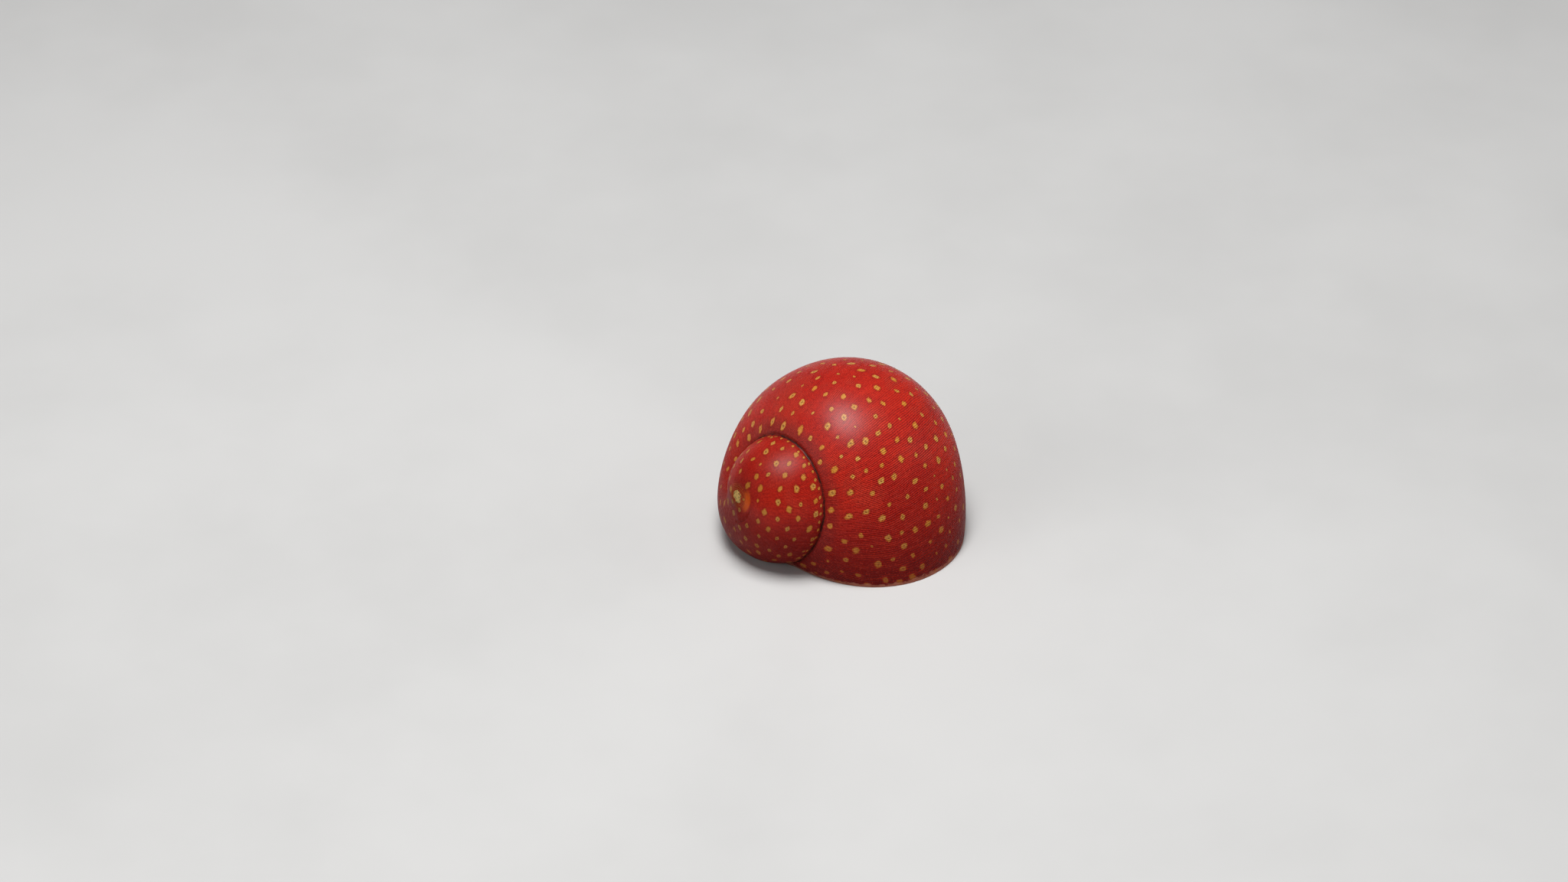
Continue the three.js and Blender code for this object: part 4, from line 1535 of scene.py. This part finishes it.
@dataclass
class Studio:
    """Floor, lights and camera."""

    law: CoilLaw
    distance: float = 0.348
    elevation: float = math.radians(37.0)
    lens: float = 100.2
    target: tuple[float, float, float] = (3.76, 2.65, 3.52)
    floor_half: float = 2000.0
    aim_height: float = 0.006
    sky: Colour = (0.94, 0.96, 1.0)
    sky_strength: float = 0.12

    def floor(self, material: bpy.types.Material) -> bpy.types.Object:
        """A plain pale floor that runs beyond the picture."""
        bm = bmesh.new()
        bmesh.ops.create_grid(bm, x_segments=2, y_segments=2, size=self.floor_half)
        made = finished_object("floor", bm, [material])
        return made

    def camera(self) -> None:
        """The photo's camera: 37 degrees above the level, looking along +Y."""
        data = bpy.data.cameras.new("camera")
        data.lens = self.lens
        data.sensor_width = 36.0
        data.clip_start = 0.01
        data.clip_end = 20.0
        made = bpy.data.objects.new("camera", data)
        aim = (Vector(self.law.apex) + Vector(self.target)) * MM
        back = Vector((0.0, -math.cos(self.elevation), math.sin(self.elevation)))
        made.location = aim + back * self.distance
        made.rotation_euler = (math.pi / 2.0 - self.elevation, 0.0, 0.0)
        bpy.context.scene.collection.objects.link(made)
        bpy.context.scene.camera = made

    def light(self, name: str, place: tuple[float, float, float], size: float, power: float) -> None:
        """One soft square light that faces the snail.

        Args:
            name: The light's name.
            place: Where it hangs, in metres.
            size: The length of its side.
            power: Its power in watts.
        """
        data = bpy.data.lights.new(name, "AREA")
        data.shape = "SQUARE"
        data.size = size
        data.energy = power
        made = bpy.data.objects.new(name, data)
        made.location = place
        aim = Vector((0.0, 0.0, self.aim_height)) - Vector(place)
        made.rotation_euler = aim.to_track_quat("-Z", "Y").to_euler()
        bpy.context.scene.collection.objects.link(made)

    def lights(self) -> None:
        """A large light above, weaker ones from both sides and pale surroundings."""
        self.light("above", (-0.02, -0.03, 0.3), 0.13, 1.0)
        self.light("left", (-0.28, -0.16, 0.16), 0.2, 0.2)
        self.light("right", (0.3, -0.05, 0.12), 0.2, 0.1)
        world = bpy.data.worlds.new("surroundings")
        world.use_nodes = True
        background = world.node_tree.nodes["Background"]
        background.inputs["Color"].default_value = rgba(self.sky)
        background.inputs["Strength"].default_value = self.sky_strength
        bpy.context.scene.world = world
        bpy.context.scene.view_settings.view_transform = "Standard"


def main() -> None:
    """Builds the snail and its studio, piece by piece."""
    law = CoilLaw()
    grid = ShellGrid(law)
    LOG.info("shell rays: %d x %d", grid.columns, grid.rows)
    mouth = Mouth(law)
    finishes = PlainFinishes()
    interior = finishes.make(SHELF_FINISH)
    painted = make_shell_material(law, ShellFinish())
    shell = Shell(grid, mouth, Spots(law)).build([painted, interior])
    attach(shell, "root")
    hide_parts("shell_spire", "shell_body_whorl")

    plates = Plates(mouth)
    shelf = plates.build_shelf(interior)
    lid = plates.build_lid(finishes.make(LID_FINISH))
    for piece, slot, node in ((shelf, Slot.SHELF, "columellar_shelf"), (lid, Slot.LID, "operculum")):
        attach(piece, "root")
        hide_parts(node)

    skin = Skin(mouth, plates.edge()).build(finishes.make(FLESH_FINISH, mouth.gaze))
    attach(skin, "root")
    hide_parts("foot", "head", "snout", "tentacle_left", "tentacle_right")

    eye_material = finishes.make(EYE_FINISH)
    for side, word in ((1.0, "left"), (-1.0, "right")):
        eye = Eyes(mouth).build(side, "eyeball_" + word, eye_material)
        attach(eye, "root")
        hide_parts("eye_" + word)

    studio = Studio(law)
    studio.floor(finishes.make(FLOOR_FINISH))
    studio.lights()
    studio.camera()


if __name__ == "__main__":
    main()
